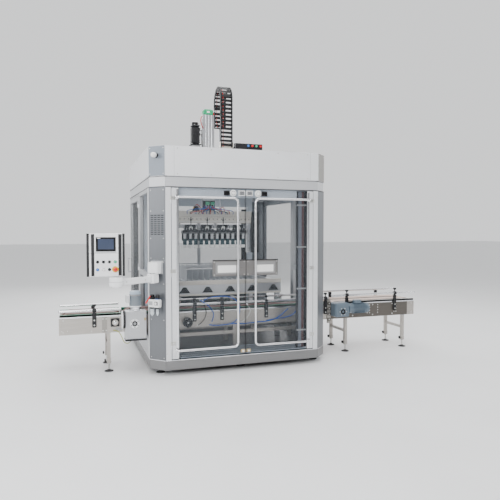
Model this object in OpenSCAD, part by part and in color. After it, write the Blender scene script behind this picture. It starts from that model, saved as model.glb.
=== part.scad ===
// Enclosed pick-and-place packing machine: a servo gantry with a row of gripping heads,
// a bottle table, a crate conveyor through both side walls, an operator panel and an air unit.
// The crates run along +X, +Y points to the back and +Z up. The origin is on the floor at the
// centre of the rectangle that the whole machine covers.

/* [Enclosure] */
// Width over the side walls
cab_w = 2150; // [2150:10:2300]
// Depth over the front and back walls
cab_d = 2390; // [2390:10:2500]
// Leg of the 45 degree cut at each corner
corner = 155; // [140:5:170]
// Underside of the plinth
plinth_z = 64; // [55:1:80]
// Top of the plinth and foot of the doors
sill_z = 175; // [150:1:185]
// Underside of the band above the doors
band_z = 2080; // [2080:10:2120]
// Underside of the header
header_z = 2200; // [2190:5:2230]
// Top of the header
top_z = 2530; // [2500:5:2600]
// Thickness of the sheet metal
sheet = 3; // [2:0.5:4]
// Thickness of the door panes
pane = 8; // [6:1:10]

/* [Doors] */
// Width of the hinge stile of a front door
stile_w = 75; // [60:5:90]
// Diameter of the tube handles
handle_d = 25; // [20:1:30]
// Gap between door edges
door_gap = 6; // [4:1:10]

/* [Conveyor] */
// Near face of the conveyor
conv_front = -790; // [-800:5:-780]
// Width over the side plates
conv_w = 450; // [440:5:450]
// Top of the crate chain
chain_z = 675; // [670:1:680]
// Left end of the infeed
infeed_end = -2030; // [-2200:10:-1900]
// Right end of the outfeed
outfeed_end = 2600; // [2500:10:2800]
// Diameter of the guide rails
rail_d = 30; // [25:1:34]

/* [Gantry] */
// Number of head groups
groups = 4; // [4:1:4]
// Heads in each group
heads = 3; // [2:1:3]
// Distance between heads
pitch = 75; // [75:1:76]
// Lower edge of the gripping cups
cup_z = 1372; // [1370:1:1380]
// Top of the lifting profile
column_top = 3245; // [3200:5:3260]
// Highest point of the energy chain
loop_top = 3508; // [3480:1:3520]

/* [Operator panel] */
// Width of the panel over its grips
hmi_w = 364; // [360:1:380]
// Height of the panel
hmi_h = 424; // [410:1:430]
// Distance between buttons across the panel
button_pitch = 56; // [54:1:56]

/* [Hidden] */

// the enclosure's centre in the row frame
cab_x = -285;
cab_y = 200;
$fn = 48;

half_w = cab_w / 2;
half_d = cab_d / 2;
front = -half_d;
post_w = 62;
post_d = 40;
running = 0.05;          // radial clearance of a pin in its bore

// front doors
stile_x = -(half_w - corner - 70 - 1);   // hinge edge of the left stile
hinge_x = stile_x - 10;
hinge_y = front - 8;
stile_y = front - 10;
stile_t = 30;
door_z0 = sill_z + 12;
door_z1 = band_z - 8;
handle_y = front - 55;
handle_z0 = 286;
handle_z1 = 1969;
handle_x = -105;
hinge_zs = [300, 1100, 1900];

// side wall: the crate tunnel and the door behind it
tunnel_y0 = -930;
tunnel_y1 = -190;
tunnel_z0 = 400;
tunnel_z1 = 1060;
mullion_y0 = -160;
mullion_y1 = -95;
wall_end = half_d - corner - 75;         // where the corner posts begin
side_hinge_y = mullion_y1 + 5;

// gantry
post_gx = 820;
post_gy = 1100;
gpost = 80;
cross_z0 = 1985;
cross_z1 = 2145;
beam_x = 700;
beam_z0 = 2145.5;
beam_z1 = 2290;
rail_top = 2310;
bridge_z0 = 2345;
bridge_z1 = 2475;
col_x = -130;                            // lifting profile
col_y = 50;
col_w = 160;
col_d = 100;
chain_x = 33;                            // energy chain
chain_w = 160;
chain_back_y = 20;
chain_front_y = -300;
chain_t = 50;
bend_r = (chain_back_y - chain_front_y) / 2;
bend_z = loop_top - bend_r - chain_t / 2;
link = 52;
servo_x = -315;

// heads
row_x = -37.5;
row_y = 70;
group_w = heads * pitch;
bar_z0 = 1566;
bar_z1 = 1613;

// conveyor
conv_back = conv_front + conv_w;
plate_t = 6;
plate_z0 = 447;
plate_z1 = 636;
shaft_z = 560;
shaft_r = 15;
wrap_r = chain_z - shaft_z;
belt_t = 12;
drive_x = -1225;
outdrive_x = 1410;
wheel_x = -597;
wheel_z = 516;
rail_z_in = 712;
rail_z_mid = 728;
rail_z_out = 755;
strands = [[-745, -600], [-530, -385]];

// operator panel
pivot = [-1050.5, -1170.5];
elbow = [-1464, -1525];
hmi_x = -1562;
hmi_y0 = -1550;
hmi_y1 = -1470;
hmi_z0 = 1152;
button_r = 14;

steel = [0.74, 0.75, 0.77];
white = [0.93, 0.93, 0.94];
dark = [0.1, 0.1, 0.11];
cream = [0.84, 0.83, 0.79];

// ---------- shared shapes ----------

// box between two opposite corners
module bar(a, b) { translate(a) cube(b - a); }

// square tube along Z
module post(x, y, w, z0, z1, t = 4) {
    translate([x, y, z0]) difference() {
        translate([-w / 2, -w / 2, 0]) cube([w, w, z1 - z0]);
        translate([-w / 2 + t, -w / 2 + t, -1]) cube([w - 2 * t, w - 2 * t, z1 - z0 + 2]);
    }
}

module rod(p, r, h, axis = [0, 0, 0]) { translate(p) rotate(axis) cylinder(r = r, h = h); }
ALONG_X = [0, 90, 0];
ALONG_Y = [-90, 0, 0];

module both_sides() {
    children();
    mirror([1, 0, 0]) children();
}

module both_ends() {
    children();
    mirror([0, 1, 0]) children();
}

// octagonal plan of the enclosure, inset by i
module plan(i = 0) {
    k = corner + i * (1 - tan(22.5)) - i;
    x = half_w - i;
    y = half_d - i;
    polygon([[-x + k, -y], [x - k, -y], [x, -y + k], [x, y - k],
             [x - k, y], [-x + k, y], [-x, y - k], [-x, -y + k]]);
}

// upright plates along the plan, open at the corners
module wall_ring(i, t, z0, z1) {
    x = half_w - i;
    y = half_d - i;
    k = corner - i * tan(22.5);
    cut = 0.5 * t + 0.3;
    both_ends() bar([-x + k + cut, -y, z0], [x - k - cut, -y + t, z1]);
    both_sides() bar([-x, -y + k + cut, z0], [-x + t, y - k - cut, z1]);
    both_sides() both_ends() corner_plate(i, t, z0, z1);
}

// plate across the left front corner, and its local frame: -y points outwards
module at_corner(i = 0) {
    k = corner - i * tan(22.5);
    translate([-(half_w - i - k / 2), -(half_d - i - k / 2), 0]) rotate(-45) children();
}

module corner_plate(i, t, z0, z1) {
    k = corner - i * tan(22.5);
    l = k * sqrt(2) - t - 0.6;
    at_corner(i) bar([-l / 2, 0, z0], [l / 2, t, z1]);
}

// half of a hinge on the Z axis: the fixed half has the pin
module hinge_fixed() {
    rod([0, 0, 0], 7, 40);
    rod([0, 0, 0], 4, 82);
    bar([-44, 4, 0], [0, 8, 40]);
}

module hinge_moving(y0) {
    difference() {
        union() {
            rod([0, 0, 41], 7, 40);
            bar([0, -7, 41], [50, y0, 81]);
        }
        rod([0, 0, 40], 4 + running, 42);
    }
}

function unit(v) = v / norm(v);
function heading(p, i) = unit(p[min(i + 1, len(p) - 1)] - p[max(i - 1, 0)]);
function hoop(c, t, r, n, ref) =
    let (a = unit(cross(t, ref)), b = cross(t, a))
    [for (k = [0:n - 1]) c + r * (cos(360 * k / n) * a + sin(360 * k / n) * b)];

// round cord through the points p
module cord(p, d, ref = [0, 1, 0], n = 8) {
    last = len(p) - 1;
    polyhedron(
        points = [for (i = [0:last]) each hoop(p[i], heading(p, i), d / 2, n, ref)],
        faces = concat(
            [[for (k = [0:n - 1]) k]],
            [for (i = [0:last - 1], k = [0:n - 1])
                [i * n + k, (i + 1) * n + k, (i + 1) * n + (k + 1) % n, i * n + (k + 1) % n]],
            [[for (k = [n - 1:-1:0]) last * n + k]]));
}

// ---------- enclosure ----------

module base_frame() {
    color(steel) {
        wall_ring(0, 6, plinth_z, sill_z);
        for (y = [-1000, -330, 330, 1000]) bar([-1040, y - 30, 90], [1040, y + 30, 170]);
        for (x = [-950, 0, 950], i = [0, 1, 2])
            bar([x - 30, -969 + i * 660, 90], [x + 30, -361 + i * 660, 170]);
        translate([0, 0, sill_z - 4]) linear_extrude(sheet) intersection() {
            plan(9);
            translate([-half_w, -780]) square([cab_w, 2000]);
        }
    }
}

module floor_grating() {
    x1 = 755;
    color([0.55, 0.6, 0.65]) {
        for (y = [front + 12, -812]) bar([-x1, y, sill_z - 4], [x1, y + 10, sill_z + 20]);
        for (x = [-x1 : 40 : x1]) bar([x, front + 20, sill_z - 4], [x + 14, -810, sill_z + 18]);
    }
}

module levelling_foot(x, y, top) {
    translate([x, y, 0]) {
        rod([0, 0, 0], 50, 10);
        translate([0, 0, 10]) cylinder(r1 = 48, r2 = 16, h = 14);
        rod([0, 0, 20], 9, top - 20);
        translate([0, 0, top - 22]) cylinder(r = 17, h = 12, $fn = 6);
    }
}

module levelling_feet() {
    color(dark) {
        for (x = [-950, 0, 950], y = [-1000, 1000]) levelling_foot(x, y, 90);
        for (x = [-950, 950]) levelling_foot(x, 0, 90);
        for (x = leg_xs, y = leg_ys) levelling_foot(x, y, 110);
    }
}

module louvres() {
    for (row = [0:9], col = [-2:1])
        bar([col * 46 + 6, -1, 1560 + row * 23], [col * 46 + 40, sheet + 1, 1569 + row * 23]);
}

module corner_columns() {
    seam = 1280;
    color(steel) {
        difference() {
            corner_plate(1, sheet, seam + 1, band_z - 1);
            at_corner(1) louvres();
        }
        corner_plate(1, sheet, sill_z + 1, seam - 1);
        both_sides() mirror([0, 1, 0]) corner_plate(1, sheet, sill_z + 1, band_z - 1);
        mirror([1, 0, 0]) corner_plate(1, sheet, sill_z + 1, band_z - 1);
        both_sides() both_ends() {
            x = half_w - corner;
            bar([-x + 3, front, sill_z + 1], [-x + 3 + post_w, front + post_d, band_z - 1]);
            y = half_d - corner;
            bar([-half_w, -y + 3, sill_z + 1], [-half_w + post_d, -y + 74, band_z - 1]);
        }
    }
}

module header_fascia() {
    ret = 103;
    x = half_w - corner;
    y = half_d - corner;
    color(white) {
        both_ends() {
            bar([-x + ret, front, header_z + 2], [x - ret, front + sheet, top_z]);
            bar([-x + ret, front + sheet, top_z - sheet], [x - ret, front + 40, top_z]);
            both_sides() bar([-x + 2, front, header_z + 2], [-x + ret - 2, front + sheet, top_z]);
        }
        both_sides() {
            bar([-half_w, -y + 2, header_z + 2], [-half_w + sheet, y - 2, top_z]);
            bar([-half_w + sheet, -y + 2, top_z - sheet], [-half_w + 40, y - 2, top_z]);
            both_ends() corner_plate(0, sheet, header_z + 2, top_z);
        }
    }
}

module header_band() {
    color(steel) {
        wall_ring(8, sheet, band_z + 4, header_z - 4);
        for (z = [band_z, header_z - sheet]) wall_ring(4, 46, z, z + sheet);
    }
}

slot = [[-480, -1050], [210, 230]];   // opening in the roof for the moving tower

module roof_panels() {
    color(steel) translate([0, 0, top_z - 30]) linear_extrude(sheet) {
        intersection() {
            plan(5);
            union() {
                translate([-half_w, -half_d]) square([half_w + slot[0].x - 1, cab_d]);
                translate([slot[1].x + 1, -half_d]) square([half_w - slot[1].x, cab_d]);
                translate([slot[0].x, slot[1].y]) square([slot[1].x - slot[0].x, cab_d]);
                translate([slot[0].x, -half_d]) square([slot[1].x - slot[0].x, half_d + slot[0].y]);
            }
        }
    }
    color(dark) {
        bar([-100, -1130, top_z - 26], [230, -1070, top_z + 78]);
        bar([-115, -1145, top_z - 26], [245, -1056, top_z - 16]);
    }
}

// fixed frame of the left wall in front of its door
module side_bay() {
    x1 = -half_w + post_d;
    bar([-half_w, -wall_end, sill_z + 1], [-half_w + sheet, mullion_y0, tunnel_z0]);
    bar([-half_w, -wall_end, tunnel_z0 + 1], [x1, tunnel_y0, band_z - 1]);
    bar([-half_w, tunnel_y1, tunnel_z0 + 1], [x1, mullion_y1, band_z - 1]);
    bar([-half_w, tunnel_y0 + 1, tunnel_z1], [x1, tunnel_y1 - 1, tunnel_z1 + 60]);
    bar([-half_w, tunnel_y0 + 1, 2035], [x1, tunnel_y1 - 1, band_z - 1]);
}

module side_frames() {
    x1 = half_w - post_d;
    color(steel) {
        both_sides() side_bay();
        bar([-half_w, mullion_y0 + 1, sill_z + 1], [-half_w + post_d, mullion_y1, tunnel_z0]);
        bar([x1, mullion_y0 + 1, sill_z + 1], [half_w, mullion_y1, tunnel_z0]);
        bar([x1, mullion_y1 + 1, sill_z + 1], [half_w, wall_end, 300]);
        bar([x1, mullion_y1 + 1, 2000], [half_w, wall_end, band_z - 1]);
        bar([-half_w + 4, mullion_y1 + 1, 2060], [-half_w + post_d, wall_end, band_z - 1]);
        xb = half_w - corner - post_w - 5;
        yb = half_d - post_d;
        difference() {
            bar([-xb, half_d - sheet, sill_z + 1], [xb, half_d, 900]);
            rod([600, half_d - 10, 320], 16.25, 20, ALONG_Y);
        }
        bar([-xb, yb, 860], [xb, half_d - sheet - 0.3, 900]);
        bar([-xb, yb, 2000], [xb, half_d, band_z - 1]);
        bar([-25, yb, 901], [25, half_d, 1999]);
    }
}

module fixed_glazing() {
    color([0.8, 0.88, 0.9], 0.3) {
        both_sides() bar([-half_w + 14, tunnel_y0 + 2, tunnel_z1 + 62],
                         [-half_w + 20, tunnel_y1 - 2, 2033]);
        bar([half_w - 20, mullion_y1 + 2, 302], [half_w - 14, wall_end - 1, 1998]);
        both_sides() bar([-850, half_d - 20, 902], [-27, half_d - 14, 1998]);
    }
}

module warning_lamp() {
    at_corner() {
        color(dark) rod([0, 0, 2425], 22, 35, [90, 0, 0]);
        color(white) translate([0, -35.2, 2425]) rotate([90, 0, 0]) {
            cylinder(r = 30, h = 22);
            translate([0, 0, 22]) intersection() {
                scale(1) sphere(r = 30);
                cylinder(r = 31, h = 31);
            }
        }
    }
}

// ---------- doors ----------

module door_hinges() {
    color(dark) {
        both_sides() for (z = hinge_zs) translate([hinge_x, hinge_y, z]) hinge_fixed();
        for (z = hinge_zs) translate([-half_w - 8, side_hinge_y, z]) rotate(-90) mirror([1, 0, 0])
            hinge_fixed();
    }
}

// tube loop of the left door, from the stile and back to it
module door_handle() {
    r = handle_d / 2;
    bend = 50;
    x0 = stile_x + 40;
    l = handle_x - bend - x0;
    for (z = [handle_z0, handle_z1]) {
        rod([x0, handle_y, z], r, l - 0.3, ALONG_X);
        rod([x0 + r, stile_y - 0.3, z], r, stile_y - handle_y - r - 0.6, [90, 0, 0]);
    }
    rod([handle_x, handle_y, handle_z0 + bend + 0.3], r, handle_z1 - handle_z0 - 2 * bend - 0.6);
    translate([handle_x - bend, handle_y, handle_z1 - bend]) rotate([90, 0, 0])
        rotate_extrude(angle = 90) translate([bend, 0]) circle(r = r);
    translate([handle_x - bend, handle_y, handle_z0 + bend]) rotate([90, 0, 0])
        rotate_extrude(angle = -90) translate([bend, 0]) circle(r = r);
}

module door_frame() {
    color(white) {
        difference() {
            bar([stile_x, stile_y, door_z0], [stile_x + stile_w, stile_y + stile_t, door_z1]);
            bar([stile_x + stile_w - 15, front - 4, door_z0 - 1],
                [stile_x + stile_w + 1, front - 4 + pane + 0.4, door_z1 + 1]);
        }
        for (z = hinge_zs) translate([hinge_x, hinge_y, z]) hinge_moving(-2);
        door_handle();
    }
    // stiffening plate and lock parts on the pane
    edge = -door_gap / 2 - 1;
    color(steel) bar([-393, front - 22, 1090], [edge, front - 4.3, 1275]);
    color(white) {
        bar([-85, front - 14, 2000], [edge - 4, front - 4.3, 2060]);
        bar([-60, front - 26, 205], [edge - 4, front - 4.3, 240]);
        rod([-150, front - 4.3, 2028], 38, 16, [90, 0, 0]);
    }
    color(dark) bar([-260, front - 24, 2000], [-192, front - 4.3, 2056]);
}

module door_glass() {
    color([0.8, 0.88, 0.9], 0.25)
        bar([stile_x + stile_w - 14.8, front - 3.8, door_z0],
            [-door_gap / 2, front - 3.8 + pane, door_z1]);
}

side_x = -half_w;                        // outer face of the left wall
side_y0 = mullion_y1 + 10;
side_y1 = wall_end - 4;

module side_door_frame() {
    t = 34;
    w = 60;
    color(white) {
        bar([side_x, side_y0, door_z0], [side_x + t, side_y0 + w, 2054]);
        bar([side_x, side_y1 - w, door_z0], [side_x + t, side_y1, 2054]);
        for (z = [door_z0, 2054 - w])
            bar([side_x, side_y0 + w + 0.3, z], [side_x + t, side_y1 - w - 0.3, z + w]);
        for (z = hinge_zs) translate([side_x - 8, side_hinge_y, z]) {
            difference() {
                union() {
                    rod([0, 0, 41], 7, 40);
                    bar([-7, 0, 41], [8, 6, 81]);
                    bar([2, 0, 41], [8.01, 45, 81]);
                }
                rod([0, 0, 40], 4 + running, 42);
            }
        }
        for (z = [1000, 1200]) rod([side_x + 1, side_y1 - 30, z], 8, 41, [0, -90, 0]);
        rod([side_x - 40, side_y1 - 30, 990], 8, 220);
    }
}

module side_door_glass() {
    color([0.8, 0.88, 0.9], 0.25)
        bar([side_x + 14, side_y0 + 60.3, door_z0 + 60.3], [side_x + 20, side_y1 - 60.3, 1993.7]);
}

// ---------- gantry ----------

module gantry_frame() {
    color(steel) {
        both_sides() both_ends() post(-post_gx, -post_gy, gpost, sill_z + 2, cross_z0 - 1);
        both_ends() bar([-post_gx - 40, -post_gy - 40, cross_z0], [post_gx + 40, -post_gy + 40, cross_z1]);
        both_sides() {
            bar([-beam_x - 40, -post_gy - 40, beam_z0], [-beam_x + 40, post_gy + 40, beam_z1]);
            bar([-beam_x - 10, -1060, beam_z1 + 0.3], [-beam_x + 10, 1060, rail_top]);
        }
    }
}

module y_drive() {
    y = 1000;
    z = 2311;
    color(dark) {
        bar([-540, y - 50, z - 50], [-380, y + 50, z + 50]);
        rod([-379.5, y, z], 48, 190, ALONG_X);
        rod([-189, y, z], 42, 40, ALONG_X);
        both_sides() {
            rod([-655, y, z], 24, 30, ALONG_X);
            rod([-655, -1000, z], 24, 30, ALONG_X);
            for (dz = [-27, 24.5]) bar([-655, -1000, z + dz], [-625, y, z + dz + 2.5]);
        }
    }
    color(steel) {
        rod([-624.5, y, z], 12, 84, ALONG_X);
        rod([-148, y, z], 12, 772, ALONG_X);
    }
}

module y_bridge() {
    tx0 = col_x - col_w / 2 - 8;
    tx1 = col_x + col_w / 2 + 8;
    ty0 = col_y - col_d / 2 - 8;
    ty1 = col_y + col_d / 2 + 8;
    color(cream) {
        for (y = [-200, 110]) bar([-780, y, bridge_z0], [780, y + 90, bridge_z1]);
        both_sides() bar([-780, -109, bridge_z0], [-640, 109, bridge_z1 - 40]);
        both_sides() for (y = [-190, 90]) bar([-beam_x - 30, y, rail_top + 2],
                                             [-beam_x + 30, y + 100, bridge_z0 - 0.3]);
    }
    color(steel) {
        bar([tx0 - 20, ty0 - 20, bridge_z1 + 0.3], [tx0, ty1 + 20, 2680]);
        bar([tx1, ty0 - 20, bridge_z1 + 0.3], [tx1 + 20, ty1 + 20, 2580]);
        for (y = [ty0 - 20, ty1]) bar([tx0 + 0.5, y, bridge_z1 + 40], [tx1 - 0.5, y + 20, 2580]);
        bar([servo_x - 75, -75, 2660], [tx0 - 20.3, 75, 2680]);
        bar([tx1 - 20, chain_front_y + 38.3, 2500], [tx1 + 40, ty0 - 20.3, 2540]);
    }
    // trough that guides the front run of the chain
    cx0 = chain_x - chain_w / 2 - 3;
    cx1 = chain_x + chain_w / 2 + 3;
    color(dark) {
        bar([cx0 - 5, chain_front_y + 32, 2480], [cx1 + 5, chain_front_y + 38, 2760]);
        for (x = [cx0 - 5, cx1]) bar([x, chain_front_y - 26, 2480], [x + 5, chain_front_y + 31.7, 2760]);
    }
}

module z_servo() {
    translate([servo_x, 0, 0]) color(dark) {
        bar([-55, -55, 2680], [55, 55, 2745]);
        bar([-70, -70, 2745], [70, 70, 2757]);
        difference() {
            bar([-60, -60, 2757], [60, 60, 2990]);
            for (a = [0:90:270]) rotate(a) bar([-30, 54, 2775], [30, 61, 2975]);
        }
        bar([-52, -52, 2990], [52, 52, 3010]);
        rod([0, 0, 3010], 46, 49);
        bar([60, -16, 2940], [86, 16, 2975]);
    }
}

// one link's two crossbars, at height z on a straight run
module rungs(y, z, inset = 7) {
    for (dy = [-chain_t / 2, chain_t / 2 - 8])
        bar([chain_x - chain_w / 2 + inset - 1, y + dy, z], [chain_x + chain_w / 2 - inset + 1, y + dy + 8, z + 27]);
}

module z_chain_loop() {
    x0 = chain_x - chain_w / 2;
    x1 = chain_x + chain_w / 2;
    run_z0 = 2700;
    tail_z0 = 3004;
    inner = 8;
    color(dark) {
        for (x = [x0, x1 - 7]) {
            translate([x, chain_front_y + bend_r, bend_z]) rotate([90, 0, 90]) intersection() {
                difference() {
                    cylinder(r = bend_r + chain_t / 2, h = 7);
                    translate([0, 0, -1]) cylinder(r = bend_r - chain_t / 2, h = 9);
                }
                translate([-300, 0, -1]) cube([600, 300, 9]);
            }
            bar([x, chain_front_y - chain_t / 2, run_z0], [x + 7, chain_front_y + chain_t / 2, bend_z + 0.01]);
            bar([x, chain_back_y - chain_t / 2, 3236], [x + 7, chain_back_y + chain_t / 2, bend_z + 0.01]);
        }
        for (x = [x0 + inner, x1 - inner - 7])
            bar([x, chain_back_y - chain_t / 2, tail_z0], [x + 7, chain_back_y + 14, 3260]);
        bar([x0 + 6, chain_back_y - chain_t / 2, 3237], [x1 - 6, chain_back_y + 14, 3258]);
        for (z = [run_z0 + 10 : link : bend_z - 20]) rungs(chain_front_y, z);
        for (a = [15 : 18 : 165]) translate([0, chain_front_y + bend_r, bend_z]) rotate([a, 0, 0])
            for (r = [bend_r - chain_t / 2, bend_r + chain_t / 2 - 8])
                bar([x0 + 6, r, -13], [x1 - 6, r + 8, 13]);
        for (z = [tail_z0 + 10 : link : 3200])
            bar([x0 + inner + 6, chain_back_y - chain_t / 2, z],
                [x1 - inner - 6, chain_back_y - chain_t / 2 + 8, z + 27]);
    }
}

module z_column() {
    color(white) difference() {
        bar([col_x - col_w / 2, col_y - col_d / 2, 1872], [col_x + col_w / 2, col_y + col_d / 2, 3167]);
        for (dx = [-40, 40], dy = [-col_d / 2 - 1, col_d / 2 - 9])
            bar([col_x + dx - 5, col_y + dy, 1860], [col_x + dx + 5, col_y + dy + 10, 3170]);
    }
    color([0.3, 0.75, 0.5])
        bar([col_x - 66, col_y - col_d / 2, 3167.2], [col_x + 66, col_y + col_d / 2, column_top]);
    color(steel) {
        bar([30, 40, 1872], [50, 58, 2990]);
        bar([col_x - col_w / 2 - 18, 20, 3090], [col_x - col_w / 2, 60, 3096]);
    }
    // moving end of the energy chain
    x0 = chain_x - chain_w / 2;
    x1 = chain_x + chain_w / 2;
    y0 = chain_back_y - chain_t / 2;
    color(dark) {
        bar([col_x + col_w / 2 + 0.3, y0, 2990.2], [x1, y0 + chain_t, 3002]);
        for (x = [x0, x1 - 7]) bar([x, y0, 3002], [x + 7, y0 + chain_t, 3230]);
        for (z = [3012 : link : 3200]) bar([x0 + 6, y0 + chain_t - 9, z], [x1 - 6, y0 + chain_t, z + 27]);
    }
}

module head_beam() {
    color(cream) {
        bar([-550, 0, 1791], [600, 100, 1871.8]);
        bar([-550, 10, 1707], [480, 90, 1790.6]);
    }
    color(steel) {
        bar([-550, 55, 1640], [480, 85, 1690]);
        for (x = [-540, -37, 440]) bar([x, 50, 1690.3], [x + 30, 90, 1706.7]);
        bar([430, 30, 1300], [479, 110, 1639.6]);
        bar([430, 20, 1640], [479, 54, 1706.7]);
    }
    color(dark) bar([486, 10, 1300], [598, 110, 1790.6]);
}

module valve_island() {
    x0 = col_x - 70;
    color(dark) bar([x0 - 15, -8, 1880], [x0 + 155, -0.3, 2010]);
    color([0.25, 0.6, 0.4]) bar([x0, -48, 1950], [x0 + 140, -8, 1992]);
    color(dark) for (i = [0:7]) rod([x0 + 9 + i * 17.4, -28, 1930], 6, 20);
    color(dark) bar([x0, -44, 1885], [x0 + 140, -8, 1915]);
}

// carriage of three heads with its upper cylinders
module head_group(i) {
    x0 = row_x + (i - groups / 2) * group_w;
    color(dark) {
        bar([x0 + 1.5, row_y - 70, bar_z0], [x0 + group_w - 1.5, row_y + 60, bar_z1]);
        for (y = [34, 86]) bar([x0 + 40, y, bar_z1 - 1], [x0 + group_w - 40, y + 20, 1688]);
        bar([x0 + 40, 34, bar_z1 - 1], [x0 + group_w - 40, 106, 1639.5]);
    }
    for (h = [0 : heads - 1]) translate([x0 + (h + 0.5) * pitch, row_y - 24, 0]) {
        color(steel) {
            rod([0, 0, 1462], 20, bar_z0 - 0.3 - 1462);
            rod([-18, -30, bar_z1], 6, 50);
            rod([18, -30, bar_z1], 6, 50);
        }
        color(white) rod([0, -30, bar_z1], 9, 28);
    }
}

module gripper() {
    color([0.12, 0.25, 0.27]) difference() {
        rod([0, 0, 1414], 26, 82);
        rod([0, 0, 1422], 20 + running, 90);
    }
    color(white) difference() {
        translate([0, 0, cup_z]) cylinder(r1 = 30, r2 = 24, h = 41.8);
        rod([0, 0, cup_z - 1], 19, 34);
    }
}

module grippers(i) {
    x0 = row_x + (i - groups / 2) * group_w;
    for (h = [0 : heads - 1]) translate([x0 + (h + 0.5) * pitch, row_y - 24, 0]) gripper();
}

// ---------- bottle table ----------

module bottle_table() {
    color(steel) {
        bar([-520, -279, 925], [420, 930, 950]);
        bar([-800, -320, 905], [800, -280, 955]);
        difference() {
            bar([-800, -315, 785], [800, -303, 904.5]);
            for (i = [-2:2]) translate([80 + i * 305, -300, 800]) rotate([90, 0, 0])
                linear_extrude(20) polygon([[-75, 0], [75, 0], [22, 78], [-22, 78]]);
        }
        both_sides() bar([-800, -279, 860], [-740, 930, 924.6]);
        for (y = [200, 870]) bar([-739, y, 860], [739, y + 60, 924.6]);
        both_sides() for (y = [-240, 900]) post(-770, y, 60, sill_z, 859.6);
    }
}

module lane_guides() {
    n = groups * heads;
    x0 = row_x - n * pitch / 2;
    color([0.35, 0.4, 0.5]) {
        for (i = [0:n]) bar([x0 + i * pitch - 1.5, -250, 950.4], [x0 + i * pitch + 1.5, 900, 1100]);
        for (y = [-240, 860]) bar([x0 - 10, y, 1100.4], [x0 + n * pitch + 10, y + 25, 1115]);
    }
}

// ---------- conveyor ----------

leg_xs = [-1500, 1540, 2430];
leg_ys = [conv_front + 25.3, conv_back - 25.3];

// side plates and spacers of one section
module section(x0, x1) {
    for (y = [conv_front, conv_back - plate_t]) bar([x0, y, plate_z0], [x1, y + plate_t, plate_z1]);
    n = max(1, round((x1 - x0) / 600));
    for (i = [0:n]) let (x = x0 + 220 + i * (x1 - x0 - 440) / n)
        rod([x, conv_front + plate_t + 0.3, 480], 10, conv_w - 2 * plate_t - 0.6, ALONG_Y);
}

module shaft_holes() {
    for (x = [drive_x, outdrive_x]) rod([x, conv_front - 5, shaft_z], shaft_r + running, conv_w + 10, ALONG_Y);
    rod([wheel_x, conv_front - 5, wheel_z], 8 + running, conv_w + 10, ALONG_Y);
}

// holes that splice the free ends to the next conveyor
module splice_holes() {
    for (x = [infeed_end + 30, infeed_end + 90, outfeed_end - 90, outfeed_end - 30], z = [490, 590])
        rod([x, conv_front - 5, z], 4.5, conv_w + 10, ALONG_Y);
}

module conveyor_frames() {
    color(steel) {
        difference() {
            union() {
                section(infeed_end, -1345);
                section(-1340, 1280);
                section(1285, outfeed_end);
            }
            shaft_holes();
            splice_holes();
        }
        for (y = [conv_front, conv_back - 40], x = [-900, 0, 900]) bar([x - 25, y, sill_z + 1], [x + 25, y + 40, 344]);
        for (y = [conv_front, conv_back - 40]) bar([-1040, y, 345], [1040, y + 40, 385]);
        for (y = [conv_front + plate_t + 0.3, conv_back - 40], x = [-900, 0, 900])
            bar([x - 25, y, 385.5], [x + 25, y + 33.7, 470]);
        for (x = leg_xs, y = leg_ys) post(x, y, 38, 105, 520, 3);
        for (x = leg_xs) bar([x - 15, leg_ys[0] + 19.3, 260], [x + 15, leg_ys[1] - 19.3, 290]);
    }
    // green wear strips inside the plates
    color([0.2, 0.62, 0.45])
        for (x = [[infeed_end + 5, -1350], [-1335, 1275], [1290, outfeed_end - 5]],
             y = [conv_front + 6.4, conv_back - 30])
            bar([x[0], y, plate_z1 + 1], [x[1], y + 23.6, 668]);
    // bearing at the infeed's end, and the stop's cylinder
    color(dark) {
        bar([-1478, conv_front - 16, 515], [-1382, conv_front - 0.3, 611]);
        rod([-1430, conv_front - 17, 563], 33, 12, [90, 0, 0]);
        difference() {
            bar([280, -585, 300], [320, -545, 500]);
            bar([287, -580, 330], [313, -550, 501]);
        }
    }
}

module belt(x0, x1) {
    r0 = wrap_r - belt_t;
    for (s = strands) {
        for (z = [chain_z - belt_t, shaft_z - wrap_r]) bar([x0, s[0], z], [x1, s[1], z + belt_t]);
        for (x = [x0 - 0.3, x1 + 0.3]) translate([x, s[1], shaft_z]) rotate([90, 0, 0]) intersection() {
            difference() {
                cylinder(r = wrap_r, h = s[1] - s[0]);
                translate([0, 0, -1]) cylinder(r = r0, h = 400);
            }
            translate([x < (x0 + x1) / 2 ? -200 : 0, -200, -1]) cube([200, 400, 400]);
        }
    }
}

module conveyor_chains() {
    color([0.42, 0.25, 0.22]) {
        belt(infeed_end + 120, -1462);
        belt(drive_x, 1160);
        belt(outdrive_x, outfeed_end - 120);
    }
}

module clamp(x, z) {
    bar([x - 22, conv_front - 24, 520], [x + 22, conv_front - 0.3, z - rail_d / 2 - 2]);
    rod([x - 22, conv_front - 12, z], rail_d / 2 + 7, 44, ALONG_X);
}

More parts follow.
